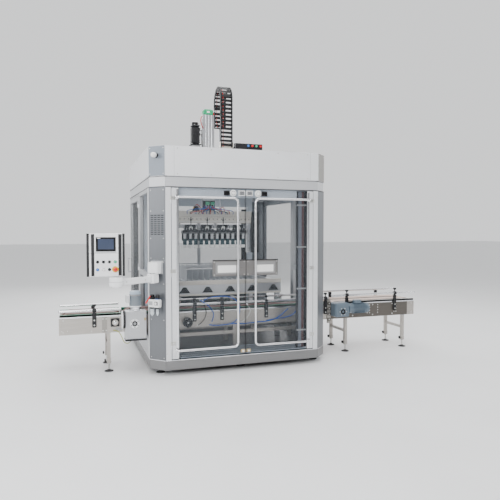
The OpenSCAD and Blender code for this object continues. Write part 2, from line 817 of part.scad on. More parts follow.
module guide_rails() {
    rails = [[infeed_end, -1360, rail_z_in], [-1060, 1270, rail_z_mid], [1300, outfeed_end, rail_z_out]];
    clamps = [[-1656, rail_z_in], [-950, rail_z_mid], [-509, rail_z_mid], [-170, rail_z_mid],
              [404, rail_z_mid], [900, rail_z_mid], [1225, rail_z_mid],
              [1540, rail_z_out], [2280, rail_z_out]];
    y = conv_front - 12;
    color(steel) {
        for (r = rails) rod([r[0], y, r[2]], rail_d / 2, r[1] - r[0], ALONG_X);
        for (r = [rails[0], rails[2]]) rod([r[0], conv_back + 12, r[2]], rail_d / 2, r[1] - r[0], ALONG_X);
    }
    color(dark) {
        for (c = clamps) difference() {
            union() {
                clamp(c[0], c[1]);
                bar([c[0] - 14, y - 8, c[1] - rail_d / 2 - 14], [c[0] + 14, y + 8, c[1] - rail_d / 2 - 1]);
                translate([c[0], y, c[1] + rail_d / 2 + 5]) {
                    cylinder(r = 7, h = 18);
                    translate([0, 0, 16]) cylinder(r1 = 12, r2 = 22, h = 18);
                }
            }
            rod([c[0] - 30, y, c[1]], rail_d / 2 + 0.2, 60, ALONG_X);
        }
        for (c = [[-1656, rail_z_in], [1540, rail_z_out], [2280, rail_z_out]])
            bar([c[0] - 22, conv_back + 0.3, 520], [c[0] + 22, conv_back + 24, c[1] - rail_d / 2 - 0.3]);
    }
}

module guide_rail_rear() {
    y0 = conv_back + 40;
    color(steel) {
        rod([-1000, conv_back - 14, rail_z_mid], 12, 2000, ALONG_X);
        for (x = [wheel_x, 100, 800]) difference() {
            union() {
                bar([x - 20, y0, 496], [x + 20, y0 + 20, rail_z_mid + 20]);
                bar([x - 20, conv_back - 22, rail_z_mid + 12.3], [x + 20, y0 - 0.3, rail_z_mid + 20]);
            }
            rod([wheel_x, y0 - 1, wheel_z], 8 + running, 40, ALONG_Y);
        }
    }
}

module handwheel() {
    y = conv_front - 40;
    translate([wheel_x, 0, wheel_z]) color(dark) {
        translate([0, y - 16, 0]) rotate(ALONG_Y) rotate_extrude() translate([50, 8]) circle(r = 8);
        rod([0, y - 18, 0], 16, 28, ALONG_Y);
        for (a = [90, 210, 330]) rotate([0, a, 0]) bar([10, y - 13, -5], [46, y - 5, 5]);
        rod([0, y - 44, -46], 8, 36, ALONG_Y);
    }
    color(steel) rod([wheel_x, y + 10, wheel_z], 8, conv_w + 120, ALONG_Y);
}

module crate_stop() {
    color(steel) {
        rod([300, -565, 440], 10, 130);
        bar([272, -587, 570], [328, -543, 664]);
    }
}

module belt_wheels(x) {
    for (s = strands) rod([x, s[0] + 20, shaft_z], wrap_r - belt_t - 1, s[1] - s[0] - 40, ALONG_Y);
}

module drive_shaft() {
    color(steel) rod([drive_x, conv_front - 150, shaft_z], shaft_r, conv_w + 160, ALONG_Y);
    color(dark) belt_wheels(drive_x);
}

module outfeed_shaft() {
    color(steel) rod([outdrive_x, conv_front - 140, shaft_z], shaft_r, conv_w + 150, ALONG_Y);
    color(dark) belt_wheels(outdrive_x);
}

module conveyor_gearmotors() {
    // upright motor on the stainless drive box at the infeed side
    x = drive_x + 15;
    color(steel) difference() {
        union() {
            bar([x - 118, conv_front - 140, 375], [x + 118, conv_front - 0.3, 700]);
            rod([x, conv_front - 75, 700], 62, 40);
            rod([drive_x, conv_front - 156, shaft_z], 52, 20, ALONG_Y);
            bar([x - 120, conv_front - 150, 365], [x + 120, conv_front - 0.3, 380]);
        }
        rod([drive_x, conv_front - 160, shaft_z], shaft_r + running, 200, ALONG_Y);
    }
    color([0.45, 0.55, 0.62]) {
        rod([x, conv_front - 75, 740.3], 66, 145);
        bar([x - 104, conv_front - 120, 790], [x - 66.5, conv_front - 40, 880]);
        rod([x, conv_front - 75, 885.6], 60, 40);
    }
    // right-angle gearmotor at the outfeed
    g = outdrive_x;
    color([0.3, 0.36, 0.42]) {
        difference() {
            bar([g - 105, conv_front - 150, 490], [g + 95, conv_front - 0.3, 672]);
            rod([g, conv_front - 160, shaft_z], shaft_r + running, 170, ALONG_Y);
        }
        rod([g + 95, conv_front - 98, 590], 62, 50, ALONG_X);
        rod([g + 145.3, conv_front - 98, 590], 70, 200, ALONG_X);
        rod([g + 345.6, conv_front - 98, 590], 64, 50, ALONG_X);
        bar([g + 180, conv_front - 132, 662], [g + 280, conv_front - 64, 700]);
    }
}

// ---------- operator panel ----------

module hmi_bracket() {
    color(white) at_corner() {
        bar([-66, -90, 1136.4], [66, -0.3, 1260]);
        rod([0, -75, 1120], 20, 17);
    }
}

module hmi_arm() {
    d = elbow - pivot;
    l = norm(d);
    color(white) {
        difference() {
            union() {
                translate([pivot.x, pivot.y, 0]) rotate(atan2(d.y, d.x)) {
                    bar([-45, -50, 1036], [55, 50, 1136]);
                    bar([50, -24, 1050], [l, 24, 1116]);
                }
                translate([elbow.x, elbow.y, 0]) {
                    rod([0, 0, 1058], 70, 84);
                    translate([0, 0, 1036]) cylinder(r1 = 46, r2 = 70, h = 22);
                }
            }
            translate([pivot.x, pivot.y, 1118]) cylinder(r = 20 + running, h = 30);
            translate([elbow.x, elbow.y, 1100]) cylinder(r = 24 + running, h = 60);
        }
    }
}

module hmi_case() {
    x0 = hmi_x - hmi_w / 2;
    x1 = hmi_x + hmi_w / 2;
    z1 = hmi_z0 + hmi_h;
    color(white) difference() {
        bar([x0 + 24, hmi_y0, hmi_z0], [x1 - 24, hmi_y1, z1]);
        bar([hmi_x - 95, hmi_y0 - 1, 1400], [hmi_x + 95, hmi_y0 + 6, 1540]);
        for (b = button_spots) rod([b.x, hmi_y0 - 1, b.y], 8 + running, 30, ALONG_Y);
    }
    color(dark) {
        bar([x0, hmi_y0 + 4, hmi_z0], [x0 + 23.7, hmi_y1 - 10, z1]);
        bar([x1 - 23.7, hmi_y0 + 4, hmi_z0], [x1, hmi_y1 - 10, z1]);
        bar([hmi_x - 94, hmi_y0 + 1, 1401], [hmi_x + 94, hmi_y0 + 5.7, 1539]);
        rod([elbow.x, elbow.y, 1101], 24, 51.2);
    }
}

button_spots = [for (row = [0, 1], col = [0:3])
    [hmi_x - 1.5 * button_pitch + 4 + col * button_pitch, row == 0 ? 1297 : 1221]];

module push_button(i, c) {
    b = button_spots[i];
    color(c) {
        rod([b.x, hmi_y0 - 12, b.y], button_r, 7, ALONG_Y);
        rod([b.x, hmi_y0 - 6, b.y], 8, 24, ALONG_Y);
    }
}

module emergency_stop() {
    b = button_spots[7];
    color("red") {
        rod([b.x, hmi_y0 - 38, b.y], 20, 18, ALONG_Y);
        rod([b.x, hmi_y0 - 21, b.y], 8, 40, ALONG_Y);
    }
}

// ---------- air unit and cords ----------

module air_unit() {
    at_corner() {
        color(cream) {
            bar([-72, -72, 766], [-2, -18, 853]);
            bar([-0.5, -72, 766], [70, -18, 853]);
            difference() {
                bar([-112, -66, 795], [-72.5, -24, 837]);
                rod([-92, -45, 794], 9.5, 18);
            }
            rod([-37, -45, 668], 24, 97.6);
            rod([34, -45, 668], 15, 97.6);
            bar([-60, -18, 780], [60, -0.3, 840]);
        }
        color(dark) {
            bar([-60, -68, 853.4], [-12, -22, 905]);
            bar([20, -66, 853.4], [54, -24, 862]);
        }
    }
}

module air_lever() {
    color("red") at_corner() {
        rod([-92, -66.4, 816], 9, 8, [90, 0, 0]);
        translate([-92, -75, 816]) rotate([0, 35, 0]) bar([-9, -6, -9], [9, 1.5, 92]);
    }
}

module air_knob() {
    color(dark) at_corner() {
        rod([37, -45, 862.4], 21, 40);
        rod([37, -45, 902], 17, 8);
    }
}

// hose along the front of the crate conveyor
hose_1 = [[-330, -800, 470], [-270, -812, 462], [-200, -816, 460], [-120, -814, 464],
          [-40, -812, 468], [40, -812, 466], [120, -814, 462], [200, -812, 466],
          [280, -810, 472], [360, -810, 470], [440, -812, 478], [520, -814, 500],
          [590, -812, 536], [650, -806, 580], [700, -800, 616]];

module air_hoses() {
    color([0.15, 0.3, 0.75]) cord(hose_1, 12);
}

earth_route = [[-1452, -796, 474], [-1440, -800, 474], [-1424, -806, 471], [-1404, -814, 462],
               [-1386, -824, 446], [-1372, -836, 424], [-1361, -850, 400], [-1352, -864, 376],
               [-1343, -876, 356], [-1330, -885, 342], [-1314, -889, 335], [-1298, -888, 334],
               [-1284, -883, 338], [-1273, -874, 344], [-1266, -865, 354], [-1264, -860, 361.5]];

module earth_cable() { color([0.6, 0.65, 0.2]) cord(earth_route, 8, [0.3, 1, 0.2]); }

module placed() { translate([cab_x, cab_y, 0]) children(); }

placed() base_frame();
placed() floor_grating();
placed() levelling_feet();
placed() corner_columns();
placed() header_fascia();
placed() header_band();
placed() roof_panels();
placed() side_frames();
placed() fixed_glazing();
placed() gantry_frame();
placed() y_drive();
placed() bottle_table();
placed() lane_guides();
placed() conveyor_frames();
placed() conveyor_chains();
placed() guide_rails();
placed() conveyor_gearmotors();
placed() air_unit();
placed() hmi_bracket();
placed() warning_lamp();
placed() air_hoses();
placed() earth_cable();
placed() door_hinges();
placed() y_bridge();
placed() z_servo();
placed() z_chain_loop();
placed() z_column();
placed() head_beam();
placed() valve_island();
placed() head_group(0);  // head_group_1
placed() head_group(1);  // head_group_2
placed() head_group(2);  // head_group_3
placed() head_group(3);  // head_group_4
placed() grippers(0);  // grippers_1
placed() grippers(1);  // grippers_2
placed() grippers(2);  // grippers_3
placed() grippers(3);  // grippers_4
placed() guide_rail_rear();
placed() handwheel();
placed() crate_stop();
placed() drive_shaft();
placed() outfeed_shaft();
placed() air_lever();
placed() air_knob();
placed() door_frame();  // door_left_frame
placed() door_glass();  // door_left_glass
placed() mirror([1, 0, 0]) door_frame();  // door_right_frame
placed() mirror([1, 0, 0]) door_glass();  // door_right_glass
placed() side_door_frame();
placed() side_door_glass();
placed() hmi_arm();
placed() hmi_case();
placed() push_button(0, dark);  // button_black_1
placed() push_button(1, dark);  // button_black_2
placed() push_button(2, dark);  // button_black_3
placed() push_button(3, "green");  // button_green
placed() push_button(4, "blue");  // button_blue
placed() push_button(5, "white");  // button_white
placed() push_button(6, dark);  // button_black_4
placed() emergency_stop();
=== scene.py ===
"""Looks of the enclosed packing machine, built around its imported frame."""

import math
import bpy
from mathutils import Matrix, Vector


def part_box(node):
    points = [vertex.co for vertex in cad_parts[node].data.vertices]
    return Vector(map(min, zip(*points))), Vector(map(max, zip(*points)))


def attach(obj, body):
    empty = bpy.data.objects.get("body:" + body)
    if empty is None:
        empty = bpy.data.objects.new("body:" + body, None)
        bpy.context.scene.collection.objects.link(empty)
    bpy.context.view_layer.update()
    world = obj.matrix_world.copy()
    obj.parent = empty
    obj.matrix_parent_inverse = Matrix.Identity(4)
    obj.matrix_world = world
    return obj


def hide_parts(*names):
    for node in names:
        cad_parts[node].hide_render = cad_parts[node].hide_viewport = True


bl_info = {
    "name": "Packing Machine Looks",
    "version": (1, 0, 0),
    "blender": (4, 5, 0),
    "location": "View3D > Sidebar > Packer",
    "description": "Builds the visible pieces, finishes, lights and camera of a gantry packing machine",
    "category": "Object",
}

import bpy
from mathutils import Matrix, Vector

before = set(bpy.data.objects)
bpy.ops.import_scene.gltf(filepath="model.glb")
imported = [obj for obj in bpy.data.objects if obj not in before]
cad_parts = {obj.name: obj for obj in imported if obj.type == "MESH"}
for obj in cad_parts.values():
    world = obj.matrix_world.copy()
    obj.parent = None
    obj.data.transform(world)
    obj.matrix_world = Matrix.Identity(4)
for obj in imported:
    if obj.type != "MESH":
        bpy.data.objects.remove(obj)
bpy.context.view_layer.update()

# centre of the cabinet's plan, from its header
_low, _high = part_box("header_fascia")
CABINET = Vector(((_low.x + _high.x) / 2, (_low.y + _high.y) / 2, 0.0))

X, Y, Z = Vector((1, 0, 0)), Vector((0, 1, 0)), Vector((0, 0, 1))


# ---------- shapes ----------


def fillet(points, radius, steps=6):
    """Polyline with its inner corners rounded."""
    points = [Vector(p) for p in points]
    out = [points[0]]
    for a, b, c in zip(points, points[1:], points[2:]):
        u, v = (a - b).normalized(), (c - b).normalized()
        angle = u.angle(v)
        cut = min(radius / math.tan(angle / 2), (a - b).length * 0.49, (c - b).length * 0.49)
        r = cut * math.tan(angle / 2)
        centre = b + (u + v).normalized() * (r / math.sin(angle / 2))
        start, end = b + u * cut - centre, b + v * cut - centre
        for i in range(steps + 1):
            out.append(centre + start.slerp(end, i / steps).normalized() * start.length)
    out.append(points[-1])
    return out


def curved(points, steps=5):
    """Smooth line through the points."""
    p = [Vector(q) for q in points]
    p = [p[0] * 2 - p[1]] + p + [p[-1] * 2 - p[-2]]
    out = []
    for i in range(1, len(p) - 2):
        a, b, c, d = p[i - 1 : i + 3]
        for k in range(steps):
            t = k / steps
            out.append(
                0.5
                * (2 * b + (c - a) * t + (2 * a - 5 * b + 4 * c - d) * t * t + (3 * b - a - 3 * c + d) * t**3)
            )
    out.append(p[-2])
    return out


class Piece:
    """Closed parts with their finishes, gathered into one object that rides on a body."""

    def __init__(self, name, body, slot=None):
        self.name, self.body, self.slot = name, body, slot
        self.points, self.faces, self.marks, self.finishes = [], [], [], []
        self.place = Matrix.Identity(4)

    def _add(self, points, faces, finish):
        if finish not in self.finishes:
            self.finishes.append(finish)
        mark = self.finishes.index(finish)
        start = len(self.points)
        flip = self.place.determinant() < 0
        self.points += [self.place @ Vector(p) for p in points]
        for f in faces:
            f = [start + i for i in f]
            self.faces.append(f[::-1] if flip else f)
            self.marks.append(mark)

    def box(self, a, b, finish, edge=0.002):
        """Block between two corners, with chamfered edges."""
        lo = [min(p, q) for p, q in zip(a, b)]
        hi = [max(p, q) for p, q in zip(a, b)]
        e = min(edge, min(h - l for l, h in zip(lo, hi)) * 0.3)
        points, index = [], {}
        for sx in (0, 1):
            for sy in (0, 1):
                for sz in (0, 1):
                    s = (sx, sy, sz)
                    for axis in range(3):
                        index[s, axis] = len(points)
                        points.append(
                            [
                                (lo, hi)[s[k]][k] + (0 if k == axis else (e, -e)[s[k]])
                                for k in range(3)
                            ]
                        )
        faces = []
        for axis in range(3):
            u, v = [(1, 2), (2, 0), (0, 1)][axis]
            for side in (0, 1):
                ring = []
                for su, sv in ((0, 0), (1, 0), (1, 1), (0, 1)):
                    s = [0, 0, 0]
                    s[axis], s[u], s[v] = side, su, sv
                    ring.append(index[tuple(s), axis])
                faces.append(ring if side else ring[::-1])
            for su in (0, 1):
                for sv in (0, 1):
                    s, t = [0, 0, 0], [0, 0, 0]
                    s[u] = t[u] = su
                    s[v] = t[v] = sv
                    t[axis] = 1
                    s, t = tuple(s), tuple(t)
                    ring = [index[s, u], index[t, u], index[t, v], index[s, v]]
                    faces.append(ring if su == sv else ring[::-1])
        for sx in (0, 1):
            for sy in (0, 1):
                for sz in (0, 1):
                    ring = [index[(sx, sy, sz), k] for k in range(3)]
                    faces.append(ring if (sx + sy + sz) % 2 else ring[::-1])
        self._add(points, faces, finish)

    def turned(self, origin, axis, profile, finish, n=28, closed=False):
        """Profile of (radius, height) pairs turned about an axis."""
        axis = Vector(axis).normalized()
        side = axis.orthogonal().normalized()
        other = axis.cross(side)
        origin = Vector(origin)
        points, faces, rows = [], [], []
        for r, h in profile:
            if r <= 1e-7:
                rows.append([len(points)])
                points.append(origin + axis * h)
            else:
                rows.append(list(range(len(points), len(points) + n)))
                for k in range(n):
                    a = 2 * math.pi * k / n
                    points.append(origin + axis * h + r * (side * math.cos(a) + other * math.sin(a)))
        pairs = list(zip(rows, rows[1:]))
        if closed:
            pairs.append((rows[-1], rows[0]))
        for low, high in pairs:
            for k in range(n):
                m = (k + 1) % n
                if len(low) == 1 and len(high) == 1:
                    continue
                if len(low) == 1:
                    faces.append([low[0], high[m], high[k]])
                elif len(high) == 1:
                    faces.append([low[k], low[m], high[0]])
                else:
                    faces.append([low[k], low[m], high[m], high[k]])
        if not closed:
            if len(rows[0]) > 1:
                faces.append(rows[0][::-1])
            if len(rows[-1]) > 1:
                faces.append(rows[-1])
        self._add(points, faces, finish)

    def rod(self, p, q, r, finish, edge=0.001, n=28):
        """Round bar from p to q."""
        p, q = Vector(p), Vector(q)
        l = (q - p).length
        e = min(edge, l * 0.3, r * 0.4)
        self.turned(p, q - p, [(0, 0), (r - e, 0), (r, e), (r, l - e), (r - e, l), (0, l)], finish, n)

    def ring(self, p, q, r, bore, finish, n=32, edge=0.001):
        """Tube from p to q, open through its bore."""
        p, q = Vector(p), Vector(q)
        l = (q - p).length
        e = min(edge, l * 0.3, (r - bore) * 0.3)
        profile = [(bore + e, 0), (r - e, 0), (r, e), (r, l - e), (r - e, l), (bore + e, l), (bore, l - e),
                   (bore, e)]
        self.turned(p, q - p, profile, finish, n, closed=True)

    def hose(self, line, r, finish, n=10):
        """Round section swept along a polyline."""
        line = [Vector(p) for p in line]
        points, faces = [], []
        normal = (line[1] - line[0]).orthogonal().normalized()
        last = (line[1] - line[0]).normalized()
        for i, p in enumerate(line):
            t = (line[min(i + 1, len(line) - 1)] - line[max(i - 1, 0)]).normalized()
            normal = (last.rotation_difference(t) @ normal).normalized()
            normal = (normal - t * normal.dot(t)).normalized()
            other = t.cross(normal)
            last = t
            for k in range(n):
                a = 2 * math.pi * k / n
                points.append(p + r * (normal * math.cos(a) + other * math.sin(a)))
        for i in range(len(line) - 1):
            for k in range(n):
                m = (k + 1) % n
                faces.append([i * n + k, i * n + m, (i + 1) * n + m, (i + 1) * n + k])
        faces.append(list(range(n))[::-1])
        faces.append([(len(line) - 1) * n + k for k in range(n)])
        self._add(points, faces, finish)

    def prism(self, outline, plane, low, high, finish, edge=0.0):
        """Outline in the plane "XY", "XZ" or "YZ", drawn out along the third axis."""
        u, v = {"XY": (0, 1), "XZ": (0, 2), "YZ": (1, 2)}[plane]
        w = 3 - u - v
        n = len(outline)
        area = sum(a[0] * b[1] - b[0] * a[1] for a, b in zip(outline, outline[1:] + outline[:1]))
        if area < 0:
            outline = outline[::-1]

        def inset(k):
            a, b, c = [Vector(outline[(k + d) % n]) for d in (-1, 0, 1)]
            e1, e2 = (b - a).normalized(), (c - b).normalized()
            n1, n2 = Vector((-e1.y, e1.x)), Vector((-e2.y, e2.x))
            return b + (n1 + n2) * (edge / max(0.3, 1 + n1.dot(n2)))

        levels = [(low, False), (high, False)]
        if edge:
            levels = [(low, True), (low + edge, False), (high - edge, False), (high, True)]
        points = []
        for h, small in levels:
            for k in range(n):
                q = inset(k) if small else outline[k]
                p = [0.0, 0.0, 0.0]
                p[u], p[v], p[w] = q[0], q[1], h
                points.append(p)
        faces = [list(range(n))[::-1], [(len(levels) - 1) * n + k for k in range(n)]]
        for i in range(len(levels) - 1):
            for k in range(n):
                m = (k + 1) % n
                faces.append([i * n + k, i * n + m, (i + 1) * n + m, (i + 1) * n + k])
        if plane == "XZ":
            faces = [f[::-1] for f in faces]
        self._add(points, faces, finish)

    def screw(self, p, axis, r, finish, n=6):
        """Hexagon or round head with a washer."""
        p, axis = Vector(p), Vector(axis).normalized()
        self.turned(p, axis, [(0, 0), (r * 1.45, 0), (r * 1.45, r * 0.25), (0, r * 0.25)], finish, 16)
        top = p + axis * r * 0.25
        self.turned(top, axis, [(0, 0), (r, 0), (r, r * 0.55), (r * 0.8, r * 0.75), (0, r * 0.75)], finish, n)

    def done(self, *nodes, smooth=32):
        """Makes the object, and hides the frame's nodes that it stands for."""
        mesh = bpy.data.meshes.new(self.name)
        mesh.from_pydata([p + CABINET for p in self.points], [], self.faces)
        for f in self.finishes:
            mesh.materials.append(FINISHES[f])
        mesh.polygons.foreach_set("material_index", self.marks)
        mesh.polygons.foreach_set("use_smooth", [True] * len(self.faces))
        mesh.set_sharp_from_angle(angle=math.radians(smooth))
        mesh.update()
        obj = bpy.data.objects.new(self.name, mesh)
        bpy.context.scene.collection.objects.link(obj)
        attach(obj, self.body)
        if nodes:
            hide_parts(*nodes)
        return obj


# ---------- finishes ----------

FINISHES = {}


CLOUD_DETAIL, GRIT_DETAIL = 5, 3
SPECKS_FROM, SPECKS_TO = 0.62, 0.68     # stretch of the fine noise over which specks appear
SOIL, SOIL_TOP = (0.12, 0.11, 0.1, 1), 0.45     # colour of dirt, and the height where it ends
GRAIN_DEPTH = 0.0008
COAT_ROUGHNESS = 0.12


def shader_node(tree, kind, **values):
    """New shader node with some inputs set. An underscore in a name stands for a space."""
    made = tree.nodes.new("ShaderNode" + kind)
    for key, value in values.items():
        made.inputs[key.replace("_", " ")].default_value = value
    return made


def mixed(tree, factor, a, b):
    """Colour between a, a value or a socket, and the value b."""
    mix = tree.nodes.new("ShaderNodeMix")
    mix.data_type = "RGBA"
    tree.links.new(factor, mix.inputs["Factor"])
    if isinstance(a, list):
        mix.inputs["A"].default_value = a
    else:
        tree.links.new(a, mix.inputs["A"])
    mix.inputs["B"].default_value = b
    return mix.outputs["Result"]


def finish(name, color, rough, metal=0.0, scale=30.0, grain=(1, 1, 1), tone=0.05, spread=0.06, bump=0.05,
           fine=220.0, coat=0.0, alpha=1.0, dirt=0.0, specks=None, ior=1.45):
    """Procedural finish: tone and gloss vary with stretched noise, a fine grain lifts the surface, and
    dirt darkens it towards the floor."""
    m = bpy.data.materials.new(name)
    m.use_nodes = True
    t = m.node_tree
    link = t.links.new
    shader = t.nodes["Principled BSDF"]
    where = shader_node(t, "TexCoord")
    stretch = shader_node(t, "Mapping", Scale=grain)
    link(where.outputs["Object"], stretch.inputs["Vector"])
    cloud = shader_node(t, "TexNoise", Scale=scale, Detail=CLOUD_DETAIL)
    grit = shader_node(t, "TexNoise", Scale=fine, Detail=GRIT_DETAIL)
    for noise in (cloud, grit):
        link(stretch.outputs["Vector"], noise.inputs["Vector"])
    dark = [max(0, c * (1 - 2 * tone)) for c in color] + [1]
    light = [min(1, c * (1 + 2 * tone)) for c in color] + [1]
    tint = mixed(t, cloud.outputs["Fac"], dark, light)
    if specks:
        ramp = shader_node(t, "ValToRGB")
        for stop, position in zip(ramp.color_ramp.elements, (SPECKS_FROM, SPECKS_TO)):
            stop.position = position
        link(grit.outputs["Fac"], ramp.inputs["Fac"])
        tint = mixed(t, ramp.outputs["Color"], tint, list(specks) + [1])
    if dirt:
        split = shader_node(t, "SeparateXYZ")
        link(where.outputs["Object"], split.inputs["Vector"])
        height = shader_node(t, "MapRange", From_Min=0.0, From_Max=SOIL_TOP, To_Min=dirt, To_Max=0.0)
        link(split.outputs["Z"], height.inputs["Value"])
        patch = shader_node(t, "Math")
        patch.operation = "MULTIPLY"
        link(height.outputs["Result"], patch.inputs[0])
        link(cloud.outputs["Fac"], patch.inputs[1])
        tint = mixed(t, patch.outputs["Value"], tint, SOIL)
    link(tint, shader.inputs["Base Color"])
    gloss = shader_node(t, "MapRange", To_Min=max(0.02, rough - spread), To_Max=min(1.0, rough + spread))
    link(cloud.outputs["Fac"], gloss.inputs["Value"])
    link(gloss.outputs["Result"], shader.inputs["Roughness"])
    if bump:
        lift = shader_node(t, "Bump", Strength=bump, Distance=GRAIN_DEPTH)
        link(grit.outputs["Fac"], lift.inputs["Height"])
        link(lift.outputs["Normal"], shader.inputs["Normal"])
    for key, value in (("Metallic", metal), ("IOR", ior), ("Coat Weight", coat), ("Alpha", alpha),
                       ("Coat Roughness", COAT_ROUGHNESS)):
        shader.inputs[key].default_value = value
    FINISHES[name] = m
    return m


def make_finishes(s):
    up = (14, 14, 0.35)
    along = (0.35, 14, 14)
    # the corner sheets take the stainless finish with a darker colour painted in, as painted shade of the
    # chamfered corners
    finish("corner_steel_painted_shade", (0.19, 0.20, 0.215), 0.36, 0.75, 9, up, 0.05, 0.07, 0.06, 60, dirt=0.35)
    finish("satin_stainless", s.steel_color, 0.34, 0.82, 9, up, 0.05, 0.07, 0.06, 60, dirt=0.25)
    finish("brushed_across", s.steel_color, 0.33, 0.85, 9, along, 0.05, 0.07, 0.06, 60)
    finish("header_lacquer", s.header_color, 0.36, 0.25, 3, (1, 1, 1), 0.02, 0.05, 0.05, 350, coat=0.15)
    finish("band_steel", (0.60, 0.61, 0.63), 0.36, 0.35, 6, along, 0.03, 0.05, 0.04, 80)
    finish("post_silver", (0.78, 0.79, 0.81), 0.34, 0.3, 9, up, 0.03, 0.05, 0.04, 60, dirt=0.15)
    finish("plinth_silver", (0.25, 0.25, 0.255), 0.4, 0.55, 8, along, 0.06, 0.08, 0.06, 80, dirt=0.35)
    # painted_shade_black: near-black put where only shade falls, behind louvres, in gaps, between rails and
    # in a bore
    finish("painted_shade_black", (0.008, 0.008, 0.009), 0.8, 0.0, 20, (1, 1, 1), 0.2, 0.1, 0.1, 300)
    finish("plate_smoke", (0.26, 0.25, 0.245), 0.3, 0.7, 9, along, 0.06, 0.07, 0.05, 80)
    # dark blue-grey painted shade for a strip of the inner post
    finish("duct_painted_shade_grey", (0.16, 0.18, 0.22), 0.4, 0.2, 12, up, 0.08, 0.07, 0.05, 200)
    # painted shade for the inside of the rear panel
    finish("rear_painted_shade", (0.06, 0.062, 0.066), 0.4, 0.5, 6, up, 0.1, 0.08, 0.05, 100)
    finish("outfeed_steel", (0.13, 0.118, 0.105), 0.36, 0.6, 10, along, 0.08, 0.08, 0.06, 70)
    finish("belt_tan", (0.58, 0.46, 0.40), 0.45, 0.0, 40, (1, 1, 1), 0.06, 0.08, 0.15, 400,
           specks=(0.66, 0.54, 0.48))
    finish("gearbox_lacquer", (0.11, 0.15, 0.19), 0.34, 0.1, 7, (1, 1, 1), 0.08, 0.07, 0.12, 260, coat=0.3)
    # maroon painted reflection for a strip of the inner post
    finish("duct_painted_maroon_reflection", (0.10, 0.045, 0.045), 0.4, 0.1, 12, up, 0.08, 0.07, 0.05, 200)
    finish("plinth_steel", (0.13, 0.133, 0.14), 0.42, 0.6, 8, along, 0.08, 0.08, 0.06, 80, dirt=0.5)
    finish("bright_edge", (0.86, 0.87, 0.9), 0.22, 0.95, 12, (1, 1, 1), 0.03, 0.05, 0.02, 200)
    finish("polished_tube", (0.9, 0.9, 0.92), 0.2, 0.85, 18, (10, 10, 0.6), 0.03, 0.05, 0.03, 120)
    finish("white_enamel", (0.88, 0.89, 0.9), 0.32, 0.0, 5, (1, 1, 1), 0.02, 0.05, 0.04, 400, coat=0.25)
    finish("cream_enamel", (0.80, 0.77, 0.7), 0.38, 0.0, 6, (1, 1, 1), 0.03, 0.06, 0.05, 380, coat=0.15)
    finish("blue_grey_enamel", (0.62, 0.69, 0.78), 0.36, 0.1, 6, (1, 1, 1), 0.03, 0.06, 0.05, 380, coat=0.15)
    finish("warm_steel", (0.50, 0.47, 0.435), 0.36, 0.75, 10, along, 0.08, 0.08, 0.06, 70, dirt=0.3)
    finish("splice_steel", (0.34, 0.325, 0.30), 0.38, 0.7, 10, along, 0.08, 0.08, 0.06, 70)
    finish("anodised_silver", (0.82, 0.84, 0.87), 0.3, 0.8, 14, up, 0.03, 0.05, 0.03, 120)
    finish("anodised_black", (0.025, 0.026, 0.03), 0.38, 0.4, 14, (1, 1, 1), 0.2, 0.08, 0.06, 300)
    # painted shade: darker copies of the header lacquer for the two header corners, the right one with a warm
    # painted reflection in it
    finish("header_painted_shade", (0.22, 0.25, 0.29), 0.36, 0.25, 3, (1, 1, 1), 0.02, 0.05, 0.05, 350, coat=0.15)
    finish("header_painted_warm_shade", (0.27, 0.26, 0.245), 0.36, 0.25, 3, (1, 1, 1), 0.02, 0.05, 0.05, 350, coat=0.15)
    finish("plate_mid", (0.36, 0.36, 0.36), 0.34, 0.6, 9, along, 0.05, 0.07, 0.05, 80)
    finish("black_moulding", (0.010, 0.010, 0.012), 0.45, 0.0, 16, (1, 1, 1), 0.25, 0.1, 0.2, 700)
    finish("black_gloss", (0.006, 0.006, 0.007), 0.2, 0.0, 8, (1, 1, 1), 0.15, 0.04, 0.01, 200, coat=0.4)
    finish("black_rubber", (0.03, 0.03, 0.031), 0.72, 0.0, 20, (1, 1, 1), 0.2, 0.1, 0.35, 500)
    finish("chrome", (0.86, 0.87, 0.88), 0.1, 1.0, 20, (1, 1, 1), 0.03, 0.03, 0.01, 200)
    finish("zinc_screw", (0.62, 0.62, 0.6), 0.35, 0.9, 60, (1, 1, 1), 0.08, 0.1, 0.05, 300)
    finish("brass_latch", (0.55, 0.43, 0.25), 0.3, 0.9, 30, (1, 1, 1), 0.08, 0.08, 0.04, 300)
    finish("motor_lacquer", (0.30, 0.34, 0.38), 0.34, 0.1, 7, (1, 1, 1), 0.06, 0.07, 0.12, 260, coat=0.3)
    finish("motor_cap", (0.50, 0.60, 0.70), 0.34, 0.0, 7, (1, 1, 1), 0.04, 0.06, 0.08, 300, coat=0.3)
    finish("cast_grey", (0.4, 0.41, 0.42), 0.5, 0.5, 26, (1, 1, 1), 0.12, 0.1, 0.3, 180)
    finish("white_moulding", (0.84, 0.85, 0.84), 0.38, 0.0, 12, (1, 1, 1), 0.02, 0.06, 0.08, 600)
    finish("smoke_bowl", (0.78, 0.86, 0.9), 0.12, 0.0, 12, (1, 1, 1), 0.03, 0.03, 0.01, 300, alpha=0.7)
    finish("teal_moulding", (0.012, 0.05, 0.062), 0.4, 0.0, 16, (1, 1, 1), 0.15, 0.08, 0.1, 500)
    finish("green_moulding", (0.06, 0.42, 0.24), 0.4, 0.0, 16, (1, 1, 1), 0.08, 0.08, 0.1, 500)
    finish("cap_green", (0.015, 0.36, 0.16), 0.4, 0.0, 16, (1, 1, 1), 0.06, 0.08, 0.1, 500)
    finish("chain_brown", (0.16, 0.065, 0.055), 0.42, 0.0, 40, (1, 1, 1), 0.12, 0.1, 0.15, 400,
           specks=(0.38, 0.22, 0.19))
    finish("wear_green", (0.02, 0.40, 0.24), 0.45, 0.0, 16, along, 0.1, 0.08, 0.1, 300)
